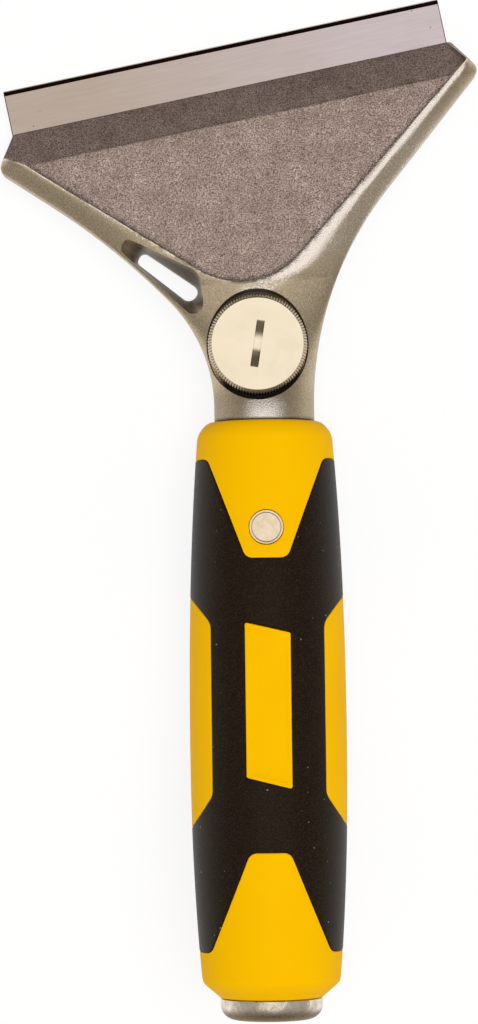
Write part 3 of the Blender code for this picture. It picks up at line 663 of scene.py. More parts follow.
def zinc_plated_steel(colours):
    """Zinc-plated steel: a cool satin grey with faint clouds where the bath ran off."""
    material, tree, shader, place = new_finish("zinc_plated_steel")
    cloud = grain(tree, place, 7.0, 0.3, 0.7, detail=4.0)
    brushed = grain(tree, place, 0.4, 0.3, 0.7, most=0.2)
    coat = coats(tree, colours.plate * 0.82, (cloud, colours.plate), (brushed, linear("#85817c")))
    satin = add_node(tree, RANGE, (cloud, 0.0, 1.0, 0.42, 0.3))
    feed(shader, {"Base Color": coat, "Roughness": satin, "Metallic": 1.0})
    return material


def drawn_aluminium(colours):
    """Drawn aluminium tube: pale, with fine scores along the way it was pulled."""
    material, tree, shader, place = new_finish("drawn_aluminium")
    pulled = {"Vector": place, "Scale": (1.0, 40.0, 1.0)}
    pulled = add_node(tree, "ShaderNodeMapping", pulled, vector_type="TEXTURE")
    scores = grain(tree, pulled, DRAWN_SCORES, 0.3, 0.7, detail=3.0)
    metal = coats(tree, colours.tube * 0.8, (scores, colours.tube))
    satin = add_node(tree, RANGE, (scores, 0.0, 1.0, 0.4, 0.28))
    feed(shader, {"Base Color": metal, "Roughness": satin, "Metallic": 1.0})
    return material


def turned_steel(colours):
    """Bright turned steel of the pin: nearly white, and smeared."""
    material, tree, shader, place = new_finish("turned_pin_steel")
    smear = grain(tree, place, 1.6, 0.35, 0.7, detail=3.0)
    steel = coats(tree, colours.pin, (smear, colours.pin * 0.94))
    satin = add_node(tree, RANGE, (smear, 0.0, 1.0, 0.2, 0.32))
    feed(shader, {"Base Color": steel, "Roughness": satin, "Metallic": 1.0})
    return material


def moulded_plastic(colours):
    """Moulded polypropylene: a full satin yellow with a spark-eroded skin and hardly any sheen."""
    material, tree, shader, place = new_finish("moulded_polypropylene")
    skin = add_node(tree, "ShaderNodeTexNoise", lumps(place, PLASTIC_SKIN))
    flow = grain(tree, place, 18.0, 0.35, 0.7, detail=3.0, most=0.5)
    deep = np.multiply(colours.plastic, (0.97, 0.92, 0.9))
    relief = {"Strength": 0.12, "Distance": 0.03 * MM, "Height": skin}
    feed(shader, {"Base Color": coats(tree, colours.plastic, (flow, deep)),
                  "Roughness": add_node(tree, RANGE, (skin, 0.3, 0.7, 0.44, 0.56)),
                  "Specular IOR Level": 0.02, "Normal": add_node(tree, "ShaderNodeBump", relief)})
    return material


def overmoulded_rubber(colours):
    """Thermoplastic rubber: soft black with a fine matt grain, and pale dust caught in it."""
    material, tree, shader, place = new_finish("thermoplastic_rubber")
    skin = add_node(tree, "ShaderNodeTexNoise", lumps(place, RUBBER_SKIN))
    rubber = coats(tree, colours.rubber, (add_node(tree, RANGE, (skin, 0.45, 0.72)), linear("#30241a")),
                   (specks(tree, place, 3.2, 0.144, 0.24, 0.8), linear("#8d857b")))
    relief = {"Strength": 1.0, "Distance": 0.08 * MM, "Height": skin}
    feed(shader, {"Base Color": rubber, "Roughness": add_node(tree, RANGE, (skin, 0.3, 0.7, 0.4, 0.55)),
                  "Specular IOR Level": 0.2, "Specular Tint": linear("#ffe8d0"),
                  "Normal": add_node(tree, "ShaderNodeBump", relief)})
    return material


# Pieces
def pocket_loop():
    """The outline of the screw's pocket, which the narrow neck pinches at its sides."""
    return SCREW_AT + circle((0.0, 0.0), 1.0) * (POCKET_WAIST, POCKET_RADIUS)


def section_height(x, y):
    """Where the head's section line through a point crosses the handle's axis."""
    height = y
    for _ in range(40):
        height = y - x * np.tan(SKEW * smooth(*FAN, height))
    return height


def side_places(loop, height):
    """Where a loop's left and right sides cross the head's section lines at some heights."""
    line = divided(loop, 0.5)
    line = line[(line[:, 1] > 0) & (depth_v(line) < LIP_V - 0.001)]
    at = section_height(*line.T)
    lowest = line[np.argmin(at), 0] if at.min() > CROWN_FLAT else 0.0
    places = []
    for side in (line[:, 0] < lowest, line[:, 0] > lowest):
        order = np.argsort(at[side])
        places.append(np.interp(height, at[side][order], line[side][order, 0]))
    return places


def head_levels(points, sizes):
    """Front and back levels of the casting over points of its plan, and the finishes of its front.

    The finishes are how far each point is blasted, buffed and painted with a highlight, and darkened with
    painted shade.
    """
    cast_edge, panel_step = sizes.cast_edge / MM, sizes.panel_step / MM
    shoulder = (TANG_END, TANG_END + TANG_CHAMFER, TANG_START, NECK_END)
    widths = (TANG_RADIUS - TANG_CHAMFER, TANG_RADIUS, TANG_RADIUS, NECK_RADIUS)
    share = np.interp(points[:, 1], shoulder, widths) / NECK_RADIUS
    x, y = points[:, 0] / share, points[:, 1]
    height = np.maximum(section_height(x, y), 0.0)
    lean = np.cos(SKEW * smooth(*FAN, height))
    left, right = side_places(rounded(HEAD_LEFT + TANG + HEAD_RIGHT), height)
    panel_left, panel_right = side_places(rounded(PANEL), height)
    on_left = x - left < right - x
    span = (right - left) / lean
    near = np.clip(np.minimum(x - left, right - x), 0.0, None) / lean
    rim = np.where(on_left, RIM_SHARE[0] * (panel_left - left), RIM_SHARE[1] * (right - panel_right)) / lean

    # The outer form, from the round neck to the thin head
    drop = np.clip((height * math.cos(SKEW) - RIM_END_V) / (LIP_V - RIM_END_V), 0.0, 1.0)
    flat, thin = smooth(*FRONT, height), smooth(*BACK, height)
    crown = (1 - smooth(0.0, CROWN_Y, height)) ** 1.5
    widest = (span - CROWN_FLAT) / 2
    top = mix(mix(PANEL_Z + panel_step, NECK_RADIUS, crown), LIP_Z + panel_step, drop)
    front_edge = mix(mix(PARTING_Z, RIM_EDGE_Z, flat), LIP_EDGE_Z, drop)
    front_width = np.minimum(mix(span / 2, np.maximum(rim, LIP_ROUND), flat), widest)
    back_width = np.minimum(mix(span / 2, BACK_ROUND, thin), widest)
    front = share * quarter(near, front_width, front_edge, top, mix(2.0, RIM_POWER, flat))
    back_edge, back_low = mix(-PARTING_Z, BACK_EDGE_Z, flat), mix(-NECK_RADIUS, BACK_Z, thin)
    back = share * quarter(near, back_width, back_edge, back_low)

    # The front's recesses: the panel with its facet, the pocket and the hang slot
    in_panel = depth_in(points, rounded(PANEL))
    bend = depth_v(points) - FACET_V
    eased = (bend + FACET_BLEND) ** 2 / (4 * FACET_BLEND)
    bend = np.where(np.abs(bend) < FACET_BLEND, eased, np.maximum(bend, 0))
    floor = PANEL_Z - bend * (PANEL_Z - LIP_Z) / (LIP_V - FACET_V)
    front = sunk(front, floor, in_panel, cast_edge)
    in_pocket = depth_in(points, pocket_loop())
    ahead = np.abs(points[:, 1] - SCREW_AT[1]) / POCKET_RADIUS
    # Painted shade on the pocket's walls and floor, strongest towards its ends along the handle
    pocket = smooth(0.0, cast_edge, in_pocket) * smooth(1.5, 4.5, front - POCKET_Z) * smooth(0.2, 0.6, ahead)
    front = sunk(front, POCKET_Z, in_pocket, cast_edge)
    in_mouth = depth_in(points, rounded(HANG_MOUTH))
    off_hole = np.clip(-depth_in(points, rounded(HANG_HOLE)), 0.0, None)
    funnel = np.clip(in_mouth, 0.0, None)
    front = mix(front, HANG_HOLE_Z, funnel / np.maximum(funnel + off_hole, 1e-6))

    # The back's recesses: for the plate and the blade, and the cored pockets
    seat = depth_in(points, rounded(BLADE_SEAT))
    back = raised(back, BED_Z, depth_in(points, rounded(PLATE)) + PLATE_ROOM, cast_edge)
    back = raised(back, BLADE_THICK / 2 + BLADE_GAP, seat, cast_edge / 2)
    for core in (CORE_LEFT, CORE_RIGHT):
        back = raised(back, WEB_Z, depth_in(points, rounded(core)), 2 * cast_edge)

    # Buffed and painted with a highlight are the lands beside the panel, a streak on the neck, the bridge to
    # the pocket and one flank
    blasted = smooth(-0.02, cast_edge * 0.6, in_panel)
    ramp = 0.9 - 0.35 * smooth(50.0, 36.0, height)
    left_land, right_land = smooth(-0.5, -0.1, in_panel), smooth(ramp, 1.0, near / front_width)
    land = np.where(on_left, BUFFED_LIT_LANDS[0] * left_land, BUFFED_LIT_LANDS[1] * right_land)
    land *= smooth(27.0, 36.0, height)
    neck = BUFFED_LIT_NECK * smooth(7.0, 2.0, np.abs(x)) * smooth(7.0, 3.0, y)
    bridge = smooth(-4.5, -2.5, in_panel) * smooth(-9.0, -3.0, x) * smooth(36.0, 28.0, height)
    slope = ~on_left * smooth(27.0, 40.0, height) * smooth(72.0, 55.0, height)
    buffed_and_highlit = np.maximum.reduce([land, neck, BUFFED_LIT_BRIDGE * bridge, BUFFED_LIT_SLOPE * slope])

    # Painted shade goes on the pocket's walls, the hang slot, the neck's end and sides, and the head's lip
    # and tips
    mouth = SHADE_MOUTH * smooth(0.0, 2 * cast_edge, in_mouth) * smooth(4.5, 1.0, off_hole)
    sides = np.where(x < 0, *SHADE_NECK_SIDES) * smooth(5.0, 9.0, np.abs(x)) * smooth(9.0, 5.0, y)
    strip = SHADE_STRIP * smooth(0.0, 0.1, drop) * smooth(2.0, 1.4, near) * ~on_left
    tips = np.maximum(smooth(0.9, 0.2, near) * blasted, strip)
    lip = np.maximum(tips, smooth(LIP_V - 0.45, LIP_V - 0.1, depth_v(points)))
    painted_shade = np.maximum.reduce([pocket, mouth, sides, smooth(0.9, 0.2, y), SHADE_LIP * lip])
    return front, back, (blasted, buffed_and_highlit, painted_shade)


def depth_v(points):
    """How far points lie along the way to the blade's edge."""
    return points[:, 1] * math.cos(SKEW) - points[:, 0] * math.sin(SKEW)


class SCRAPER_OT_head(bpy.types.Operator):
    """Build the cast head: its fanned body, sunk panel, screw pocket, hang slot and hollow back"""

    bl_idname = "scraper.head"
    bl_label = "Head Casting"

    def execute(self, context):
        sizes, colours = context.scene.scraper_sizes, context.scene.scraper_colours
        step, wall = sizes.mesh_step / MM, sizes.cast_edge / MM
        outline = divided(rounded(HEAD_LEFT + TANG + HEAD_RIGHT), step * FINE)
        holes = [divided(rounded(HANG_HOLE), step / 2), circle(SCREW_AT, SHANK_RADIUS + SHANK_ROOM),
                 circle((0.0, PIN_Y), PIN_HOLE)]

        def cover(points):
            outside = [-depth_in(points, hole) for hole in holes]
            return np.minimum.reduce([depth_in(points, outline), *outside])

        loops = [outline] + holes
        walls = np.array((0.0, 0.33, 0.66, 1.0)) * wall
        bands = [straight((-NECK_RADIUS, y), (NECK_RADIUS, y), step)
                 for y in (0.3, NECK_END, TANG_START, TANG_END + TANG_CHAMFER)]
        creases = (FACET_V - FACET_BLEND, FACET_V, FACET_V + FACET_BLEND, FACET_V + 0.55,
                   LIP_V - 0.5, LIP_V - 0.25)
        fine = step * FINE
        lines = bands + follow(outline, FRONT_LINES, fine)
        lines += follow(rounded(PANEL), walls, fine)
        lines += follow(pocket_loop(), walls, fine)
        lines += follow(rounded(HANG_MOUTH), walls * 2, step / 2)
        lines += follow(rounded(HANG_HOLE), (-0.3, -0.8), step / 2)
        lines += [straight(*[skewed(u, v) for u in CREASE_ENDS], fine) for v in creases]
        front_flat, front_triangles = sheet(loops, lines, step, cover)

        medium = step * MEDIUM
        lines = bands + follow(outline, BACK_LINES, medium)
        lines += follow(rounded(PLATE), walls - PLATE_ROOM, medium)
        lines += follow(rounded(BLADE_SEAT), walls / 2, medium)
        for core in (CORE_LEFT, CORE_RIGHT):
            lines += follow(rounded(core), walls * 2, medium)
        back_flat, back_triangles = sheet(loops, lines, step * BACK_STEP, cover)

        front, _, finishes = head_levels(front_flat, sizes)
        back = head_levels(back_flat, sizes)[1]
        points, faces = two_sided((front_flat, front_triangles, np.column_stack((front_flat, front))),
                                  (back_flat, back_triangles, np.column_stack((back_flat, back))))
        mesh = bpy.data.meshes.new("head_casting_finished")
        mesh.from_pydata(points.tolist(), [], faces)
        for name, on_front, on_back in zip(HEAD_FINISHES, finishes, BACK_FINISHES):
            mark(mesh, name, np.concatenate((on_front, np.full(len(back_flat), on_back))))
        add_piece("head_casting", mesh, "tool", [die_cast_zinc(colours)])
        return {"FINISHED"}


class SCRAPER_OT_blade(bpy.types.Operator):
    """Build the reversible blade, with bevels ground along both edges"""

    bl_idname = "scraper.blade"
    bl_label = "Blade"

    def execute(self, context):
        sizes, colours = context.scene.scraper_sizes, context.scene.scraper_colours
        grind, half, flat = sizes.blade_grind / MM, BLADE_THICK / 2, EDGE_FLAT / 2
        heel = EDGE_V - BLADE_DEPTH
        front = [(EDGE_V, flat), (EDGE_V - HONED, HONED_Z), (EDGE_V - grind, half),
                 (heel + grind, half), (heel + HONED, HONED_Z), (heel, flat)]
        section = front + [(v, -z) for v, z in reversed(front)]
        count = len(section)
        right, chamfer, thin = BLADE_LEFT + BLADE_LENGTH, END_CHAMFER, half - END_CHAMFER
        rings = [(BLADE_LEFT, thin), (BLADE_LEFT + chamfer, half), (right - chamfer, half), (right, thin)]
        points = [(*skewed(u, v), max(-limit, min(limit, z))) for u, limit in rings for v, z in section]
        faces = [tuple(range(count)), tuple(range(3 * count, 4 * count))]
        for ring in (0, count, 2 * count):
            for place in range(count):
                a, b = ring + place, ring + (place + 1) % count
                faces.append((a, b, b + count, a + count))
        mesh = mesh_of("scraper_blade_finished", points, faces)
        along = Vector((*skewed(1.0, 0.0), 0.0))
        for face in mesh.polygons:
            ground = 0.9 < abs(face.normal.z) < 0.99
            chamfered = 0.1 < abs(face.normal.dot(along)) < 0.9
            face.material_index = int(ground or chamfered)
        finishes = [ground_steel(colours), bevel_painted_dark(colours)]
        add_piece("scraper_blade", mesh, "blade", finishes, sharp=math.radians(5))
        return {"FINISHED"}


class SCRAPER_OT_clamp_plate(bpy.types.Operator):
    """Build the clamp plate under the blade, with its tapped boss and bevelled lip"""

    bl_idname = "scraper.clamp_plate"
    bl_label = "Clamp Plate"

    def execute(self, context):
        sizes, colours = context.scene.scraper_sizes, context.scene.scraper_colours
        step = sizes.mesh_step / MM * BACK_STEP
        outline = divided(rounded(PLATE), step * FINE)
        hole = circle(SCREW_AT, THREAD_HOLE)

        def cover(points):
            return np.minimum(depth_in(points, outline), -depth_in(points, hole))

        lines = follow(outline, (0.03, 0.12, 0.25, PLATE_EDGE), step * FINE)
        boss = ((THREAD_HOLE + 0.4, BOSS_END), (BOSS_RADIUS - 0.6, BOSS_END),
                (BOSS_RADIUS - 0.15, BOSS_END + 0.15), (BOSS_RADIUS, BOSS_END + 0.6),
                (BOSS_RADIUS + 0.06, PLATE_BACK - 0.7),
                (BOSS_RADIUS + 0.3, PLATE_BACK - 0.2), (BOSS_RADIUS + 0.9, PLATE_BACK))
        rings = [radius for radius, _ in boss] + [RING_ROOM_RADIUS, RING_ROOM_RADIUS - 0.1]
        lines += [(circle(SCREW_AT, radius), True) for radius in rings]
        lines.append(straight(*[skewed(u, PLATE_V - PLATE_BEVEL) for u in CREASE_ENDS], step))

        flat, triangles = sheet([outline, hole], lines, step, cover)
        away = np.hypot(*(flat - SCREW_AT).T)
        edge = depth_in(flat, outline)
        top = quarter(edge, PLATE_EDGE, PLATE_TOP - PLATE_EDGE, PLATE_TOP)
        top = np.where(away < RING_ROOM_RADIUS - 0.05, RING_ROOM_Z, top)
        rise = (PLATE_TOP - PLATE_LIP - PLATE_BACK) / PLATE_BEVEL
        back = PLATE_BACK + rise * np.clip(depth_v(flat) - PLATE_V + PLATE_BEVEL, 0.0, None)
        back = quarter(edge, PLATE_EDGE, back + PLATE_EDGE, back)
        back = np.where(away < boss[-1][0], np.interp(away, *np.array(boss).T), back)
        solid = two_sided((flat, triangles, np.column_stack((flat, top))),
                          (flat, triangles, np.column_stack((flat, back))))
        mesh = mesh_of("clamp_plate_finished", *solid)
        add_piece("clamp_plate", mesh, "clamp", [zinc_plated_steel(colours)])
        return {"FINISHED"}


def knurl_tree():
    """Nodes that press straight teeth into a round body about Z, between two levels."""
    tree = bpy.data.node_groups.new("Knurl", "GeometryNodeTree")
    for name, kind in (("Geometry", "Geometry"), ("Teeth", "Int"), ("Depth", "Float"), ("Lower", "Float"),
                       ("Upper", "Float"), ("Material", "Material")):
        tree.interface.new_socket(name, in_out="INPUT", socket_type=f"NodeSocket{kind}")
    tree.interface.new_socket("Geometry", in_out="OUTPUT", socket_type="NodeSocketGeometry")
    given = add_node(tree, "NodeGroupInput").node.outputs
    place = add_node(tree, "GeometryNodeInputPosition")
    x, y, z = add_node(tree, "ShaderNodeSeparateXYZ", (place,)).node.outputs
    turn = add_node(tree, MATH, (y, x), operation="ARCTAN2")
    pitches = add_node(tree, MATH, (given["Teeth"], math.tau), operation="DIVIDE")
    count = add_node(tree, MATH, (turn, pitches), operation="MULTIPLY")
    wave = add_node(tree, MATH, (count, 0.5), operation="PINGPONG")
    press = add_node(tree, MATH, (wave, given["Depth"]), operation="MULTIPLY")
    press = add_node(tree, MATH, (press, -2.0), operation="MULTIPLY")
    spoke = add_node(tree, "ShaderNodeCombineXYZ", (x, y))
    spoke = add_node(tree, "ShaderNodeVectorMath", (spoke,), operation="NORMALIZE")
    offset = add_node(tree, "ShaderNodeVectorMath", {0: spoke, "Scale": press}, operation="SCALE")
    over = add_node(tree, MATH, (z, given["Lower"]), operation="GREATER_THAN")
    under = add_node(tree, MATH, (z, given["Upper"]), operation="LESS_THAN")
    band = add_node(tree, "FunctionNodeBooleanMath", (over, under), operation="AND")
    moved = {"Geometry": given["Geometry"], "Selection": band, "Offset": offset}
    moved = add_node(tree, "GeometryNodeSetPosition", moved)
    whole = add_node(tree, "GeometryNodeRealizeInstances", (moved,))
    dressed = add_node(tree, "GeometryNodeSetMaterial", {"Geometry": whole, "Material": given["Material"]})
    feed(tree.nodes.new("NodeGroupOutput"), {"Geometry": dressed})
    return tree


def evaluated(piece):
    """A plain mesh of a piece with its modifiers applied; the piece itself is removed."""
    shown = piece.evaluated_get(bpy.context.evaluated_depsgraph_get())
    mesh = bpy.data.meshes.new_from_object(shown)
    bpy.data.objects.remove(piece)
    return mesh


class SCRAPER_OT_clamp_screw(bpy.types.Operator):
    """Build the clamp screw: a knurled head with a sawn coin slot, and its grooved shank"""

    bl_idname = "scraper.clamp_screw"
    bl_label = "Clamp Screw"

    def execute(self, context):
        sizes, colours = context.scene.scraper_sizes, context.scene.scraper_colours
        plating = nickel_plate(colours)
        lower, upper = SEAT_Z + KNURL_LEAD, FACE_Z - KNURL_RUNOUT
        root, end = SHANK_RADIUS - GROOVE_DEPTH, SHANK_END + SHANK_CHAMFER
        profile = [(FACE_RADIUS - 0.12, FACE_Z), (FACE_RADIUS, FACE_Z - 0.05), (KNURL_START, KNURL_TOP),
                   (KNURL_RADIUS, upper), (KNURL_RADIUS, lower), (FACE_RADIUS, SEAT_Z),
                   (SHANK_RADIUS, SEAT_Z), (SHANK_RADIUS, GROOVE_TOP), (root, GROOVE_TOP), (root, GROOVE_LOW),
                   (SHANK_RADIUS, GROOVE_LOW), (SHANK_RADIUS, end), (SHANK_RADIUS - SHANK_CHAMFER, SHANK_END)]
        body = mesh_of("clamp_screw_finished", *turned(profile, 4 * sizes.knurl_teeth))
        blank = add_object("screw_blank", body)
        knurl = blank.modifiers.new("knurl", "NODES")
        knurl.node_group = knurl_tree()
        values = {"Teeth": sizes.knurl_teeth, "Depth": sizes.knurl_depth / MM, "Lower": lower - TINY,
                  "Upper": KNURL_TOP + TINY, "Material": plating}
        for item in knurl.node_group.interface.items_tree:
            if item.name in values:
                knurl[item.identifier] = values[item.name]
        knurled = add_object("screw_knurled", evaluated(blank))

        # The coin slot, sawn with a disc
        reach, width = sizes.coin_slot_length / MM / 2, sizes.coin_slot_width / MM
        disc = turned([(COIN_SLOT_SAW, width / 2), (COIN_SLOT_SAW, -width / 2)], SAW_FACETS)
        saw_mesh = mesh_of("coin_slot_saw", *disc)
        lift = Matrix.Translation((0.0, 0.0, FACE_Z + math.sqrt(COIN_SLOT_SAW ** 2 - reach ** 2)))
        upright = Matrix.Rotation(COIN_SLOT_TURN, 4, "Z") @ Matrix.Rotation(math.pi / 2, 4, "Y")
        saw_mesh.transform(lift @ upright)
        saw = add_object("coin_slot_saw", saw_mesh)
        knurled.modifiers.new("coin_slot", "BOOLEAN").object = saw
        mesh = evaluated(knurled)
        bpy.data.objects.remove(saw)
        mesh.materials.clear()
        mesh.name = "clamp_screw_finished"

        # Painted shade between the teeth and at the ends of the slot
        x, y, z = np.array([vertex.co[:] for vertex in mesh.vertices]).T
        away = np.hypot(x, y)
        toothed = (z > lower - TINY) & (z < KNURL_TOP + TINY) & (away > FACE_RADIUS - 0.1)
        pressed = np.where(z < upper + TINY, KNURL_RADIUS, KNURL_START) - away
        run = y * math.cos(COIN_SLOT_TURN) - x * math.sin(COIN_SLOT_TURN)
        sawn = (z < FACE_Z - 0.02) & (z > upper - 2.0) & (away < FACE_RADIUS - 0.5)
        slot_shade = 0.85 * sawn * smooth(1.0, 3.0, np.abs(run))
        mark(mesh, "painted_shade", np.maximum(toothed * smooth(0.28, 0.45, pressed), slot_shade))
        mark(mesh, "knurled", toothed.astype(float))
        add_piece("clamp_screw", mesh, "screw", [plating], at=(*SCREW_AT, 0.0),
                  sharp=math.radians(20))
        return {"FINISHED"}


def barrel_radius(y):
    """The handle's outer radius, a belly that falls away to the collar and to the butt."""
    upper = y > BELLY_Y
    away = np.abs((y - BELLY_Y) / np.where(upper, COLLAR_Y - BELLY_Y, BUTT_Y - BELLY_Y))
    return BELLY_RADIUS - (BELLY_RADIUS - np.where(upper, COLLAR_RADIUS, BUTT_RADIUS)) * away ** BELLY_POWER


def core_radius(y):
    """The plastic core's outer radius, with its round collar and softly chamfered butt."""
    butt = [(BUTT_RADIUS - inwards, BUTT_Y - down) for inwards, down in BUTT_SOFTENING]
    radii, heights = np.array([(BUTT_RIM, -HANDLE_LENGTH), *reversed(butt), (BUTT_RADIUS, BUTT_Y)]).T
    collar = quarter(-y, -COLLAR_Y, MOUTH_RIM, COLLAR_RADIUS, COLLAR_POWER)
    below = np.where(y < BUTT_Y, np.interp(y, heights, radii), barrel_radius(y))
    return np.where(y > COLLAR_Y, collar, below)


def wrapped(corners, step):
    """An outline laid on the unrolled front half of the handle, as (girth, y)."""
    line = divided(rounded(corners), step)
    radius = barrel_radius(np.clip(line[:, 1], BUTT_Y, COLLAR_Y))
    across = np.abs(line[:, 0])
    turn = np.arcsin(np.minimum(across / radius, 1.0)) + np.maximum(across - radius, 0.0) / BELLY_RADIUS
    return np.column_stack((np.sign(line[:, 0]) * turn * BELLY_RADIUS, line[:, 1]))


def on_handle(points, radius):
    """Unrolled points put back round the handle at some radius."""
    turn = points[:, 0] / BELLY_RADIUS
    return np.column_stack((radius * np.sin(turn), points[:, 1], radius * np.cos(turn)))


def both_halves(triangles, flat, outer, inner):
    """A hollow solid round the handle, from its unrolled front half and a mirrored back."""
    seam = np.abs(flat[:, 0]) > HALF_GIRTH - 0.001
    points, faces = two_sided((flat, triangles, on_handle(flat, outer)),
                              (flat, triangles, on_handle(flat, inner)), seam)
    mirrored = [tuple(place + len(points) for place in reversed(face)) for face in faces]
    return np.concatenate((points, points * (1, 1, -1))), faces + mirrored


def half_frame(top, end, step):
    """The border of the unrolled front half between two heights."""
    corners = [(-HALF_GIRTH, end), (HALF_GIRTH, end), (HALF_GIRTH, top), (-HALF_GIRTH, top)]
    return divided(np.array(corners), step)


class SCRAPER_OT_grip(bpy.types.Operator):
    """Build the two-shot grip: the yellow core with its pads, and the black rubber round them"""

    bl_idname = "scraper.grip"
    bl_label = "Grip"

    def execute(self, context):
        sizes, colours = context.scene.scraper_sizes, context.scene.scraper_colours
        step = sizes.mesh_step / MM * GRIP_STEP
        windows = [wrapped(corners, step / 3) for corners in
                   (WINDOW_NECK, WINDOW_BUTT, WINDOW_RIGHT, WINDOW_LEFT, WINDOW_CENTRE)]
        self.rubber(sizes, colours, step, windows)
        self.core(sizes, colours, step, windows)
        return {"FINISHED"}

    def rubber(self, sizes, colours, step, windows):
        """The rubber sleeve, rounded round its windows."""
        edge = sizes.rubber_edge / MM
        frame_line = half_frame(GRIP_TOP, GRIP_END, step)

        def outside(points):
            return -np.maximum.reduce([depth_in(points, window) for window in windows])

        def cover(points):
            return np.minimum(outside(points), depth_in(points, frame_line))

        lines = []
        for window in windows:
            lines += follow(window, -edge * EDGE_SHARES, step / 2)
        flat, triangles = sheet([frame_line, *windows], lines, step, cover)
        barrel = barrel_radius(flat[:, 1])
        outer = quarter(outside(flat), edge, barrel - edge, barrel)
        solid = both_halves(triangles, flat, outer, barrel - GRIP_THICK)
        mesh = mesh_of("grip_sleeve_finished", *solid)
        add_piece("grip_sleeve", mesh, "tool", [overmoulded_rubber(colours)])

    def core(self, sizes, colours, step, windows):
        """The plastic core, whose pads fill the windows."""
        gap, edge = sizes.pad_gap / MM, sizes.pad_edge / MM
        border, sink = sizes.field_border / MM, sizes.field_depth / MM
        frame_line = half_frame(0.0, -HANDLE_LENGTH, step)
        hole = wrapped([(x, y, 0.0) for x, y in circle((0.0, PIN_Y), PIN_HOLE)], step)

        def cover(points):
            return np.minimum(-depth_in(points, hole), depth_in(points, frame_line))

        lines = []
        for window in windows:
            lines += follow(window, gap + edge * np.array((0.0, *EDGE_SHARES)), step / 2)
        lines += follow(windows[-1], border + FIELD_WALL * np.array((0.0, 0.5, 1.0)), step / 2)
        lines += follow(hole, (-0.05, -PIN_HOLE_EDGE), step / 2)
        collar = COLLAR_Y * (1 - np.cos(np.radians((8, 16, 24, 32, 42, 54, 66, 78, 90))))
        butt = BUTT_Y - np.array((-0.5, 0.0, 0.5, 1.0, 1.35, 1.7, 2.6))
        for y in (*collar, *butt, MOUTH_SHOULDER + 0.03, MOUTH_SHOULDER - 0.03):
            lines.append(straight((-HALF_GIRTH, y), (HALF_GIRTH, y), step))
        flat, triangles = sheet([frame_line, hole, *windows], lines, step, cover)
        inside = np.maximum.reduce([depth_in(flat, window) for window in windows])
        skin = core_radius(flat[:, 1]) - SKIN
        pad = quarter(inside - gap, edge, skin - edge, skin)
        pad = pad - quarter(-depth_in(flat, hole), PIN_HOLE_EDGE, PIN_HOLE_EDGE, 0.0)
        pad = pad - sink * smooth(border, border + FIELD_WALL, depth_in(flat, windows[-1]))
        outer = mix(skin - GRIP_SEAT, pad, np.clip(inside / gap, 0.0, 1.0))
        inner = np.where(flat[:, 1] > MOUTH_SHOULDER, MOUTH_BORE, CORE_BORE)
        mesh = mesh_of("handle_core_finished", *both_halves(triangles, flat, outer, inner))
        add_piece("handle_core", mesh, "tool", [moulded_plastic(colours)])


class SCRAPER_OT_pin_and_cap(bpy.types.Operator):
    """Build the turned pieces of the handle: the cross pin and the strike cap"""

    bl_idname = "scraper.pin_and_cap"
    bl_label = "Pin and Strike Cap"

    def execute(self, context):
        sizes, colours = context.scene.scraper_sizes, context.scene.scraper_colours
        chamfer, corner = sizes.pin_chamfer / MM, sizes.cap_round / MM
        reach = float(barrel_radius(PIN_Y))
        face = PIN_RADIUS - chamfer
        # From the face out: a thin groove, a bright ring and the rounded edge
        end = [(face - 0.16, reach), (face - 0.12, reach), (face - 0.02, reach - 0.07),
               (face + 0.04, reach - 0.03), (PIN_RADIUS - 0.06, reach - 0.06), (PIN_RADIUS, reach - 0.2)]
        profile = end + [(radius, -level) for radius, level in reversed(end)]
        pin = mesh_of("cross_pin_finished", *turned(profile, FACETS))
        add_piece("cross_pin", pin, "tool", [turned_steel(colours)], at=(0.0, PIN_Y, 0.0))

        rim = rounding(corner - SKIN, (CAP_RADIUS - corner, CAP_END + corner), 0, -90, 12)
        profile = [(CAP_SHANK - 1.0, CAP_SHANK_END), (CAP_SHANK, CAP_SHANK_END - 1.0), (CAP_SHANK, CAP_SEAT),
                   (CAP_RADIUS - 0.2, CAP_SEAT), (CAP_RADIUS - SKIN, CAP_SEAT - 0.2), *rim]
        cap = mesh_of("strike_cap_finished", *turned(profile, FACETS, "Y"))
        levels = np.array([vertex.co.y for vertex in cap.vertices])
        # Painted shade on the cap's end and the rounding next to it
        darkened = smooth(CAP_END + 3.2, CAP_END + 1.2, levels)
        mark(cap, "painted_shade", darkened)
        add_piece("strike_cap", cap, "tool", [bare_cast_zinc(colours)])
        return {"FINISHED"}


class SCRAPER_OT_hidden_metal(bpy.types.Operator):
    """Finish the pieces that keep their plain shapes: the core tube, the washer and the retaining ring"""

    bl_idname = "scraper.hidden_metal"
    bl_label = "Hidden Metal"

    def execute(self, context):
        colours = context.scene.scraper_colours
        plated = bpy.data.materials.get("zinc_plated_steel") or zinc_plated_steel(colours)
        for name, finish in (("core_tube", drawn_aluminium(colours)), ("screw_washer", plated),
                             ("screw_retaining_ring", plated)):
            node = frame["nodes"][name]
            node.data.materials.clear()
            node.data.materials.append(finish)
        return {"FINISHED"}


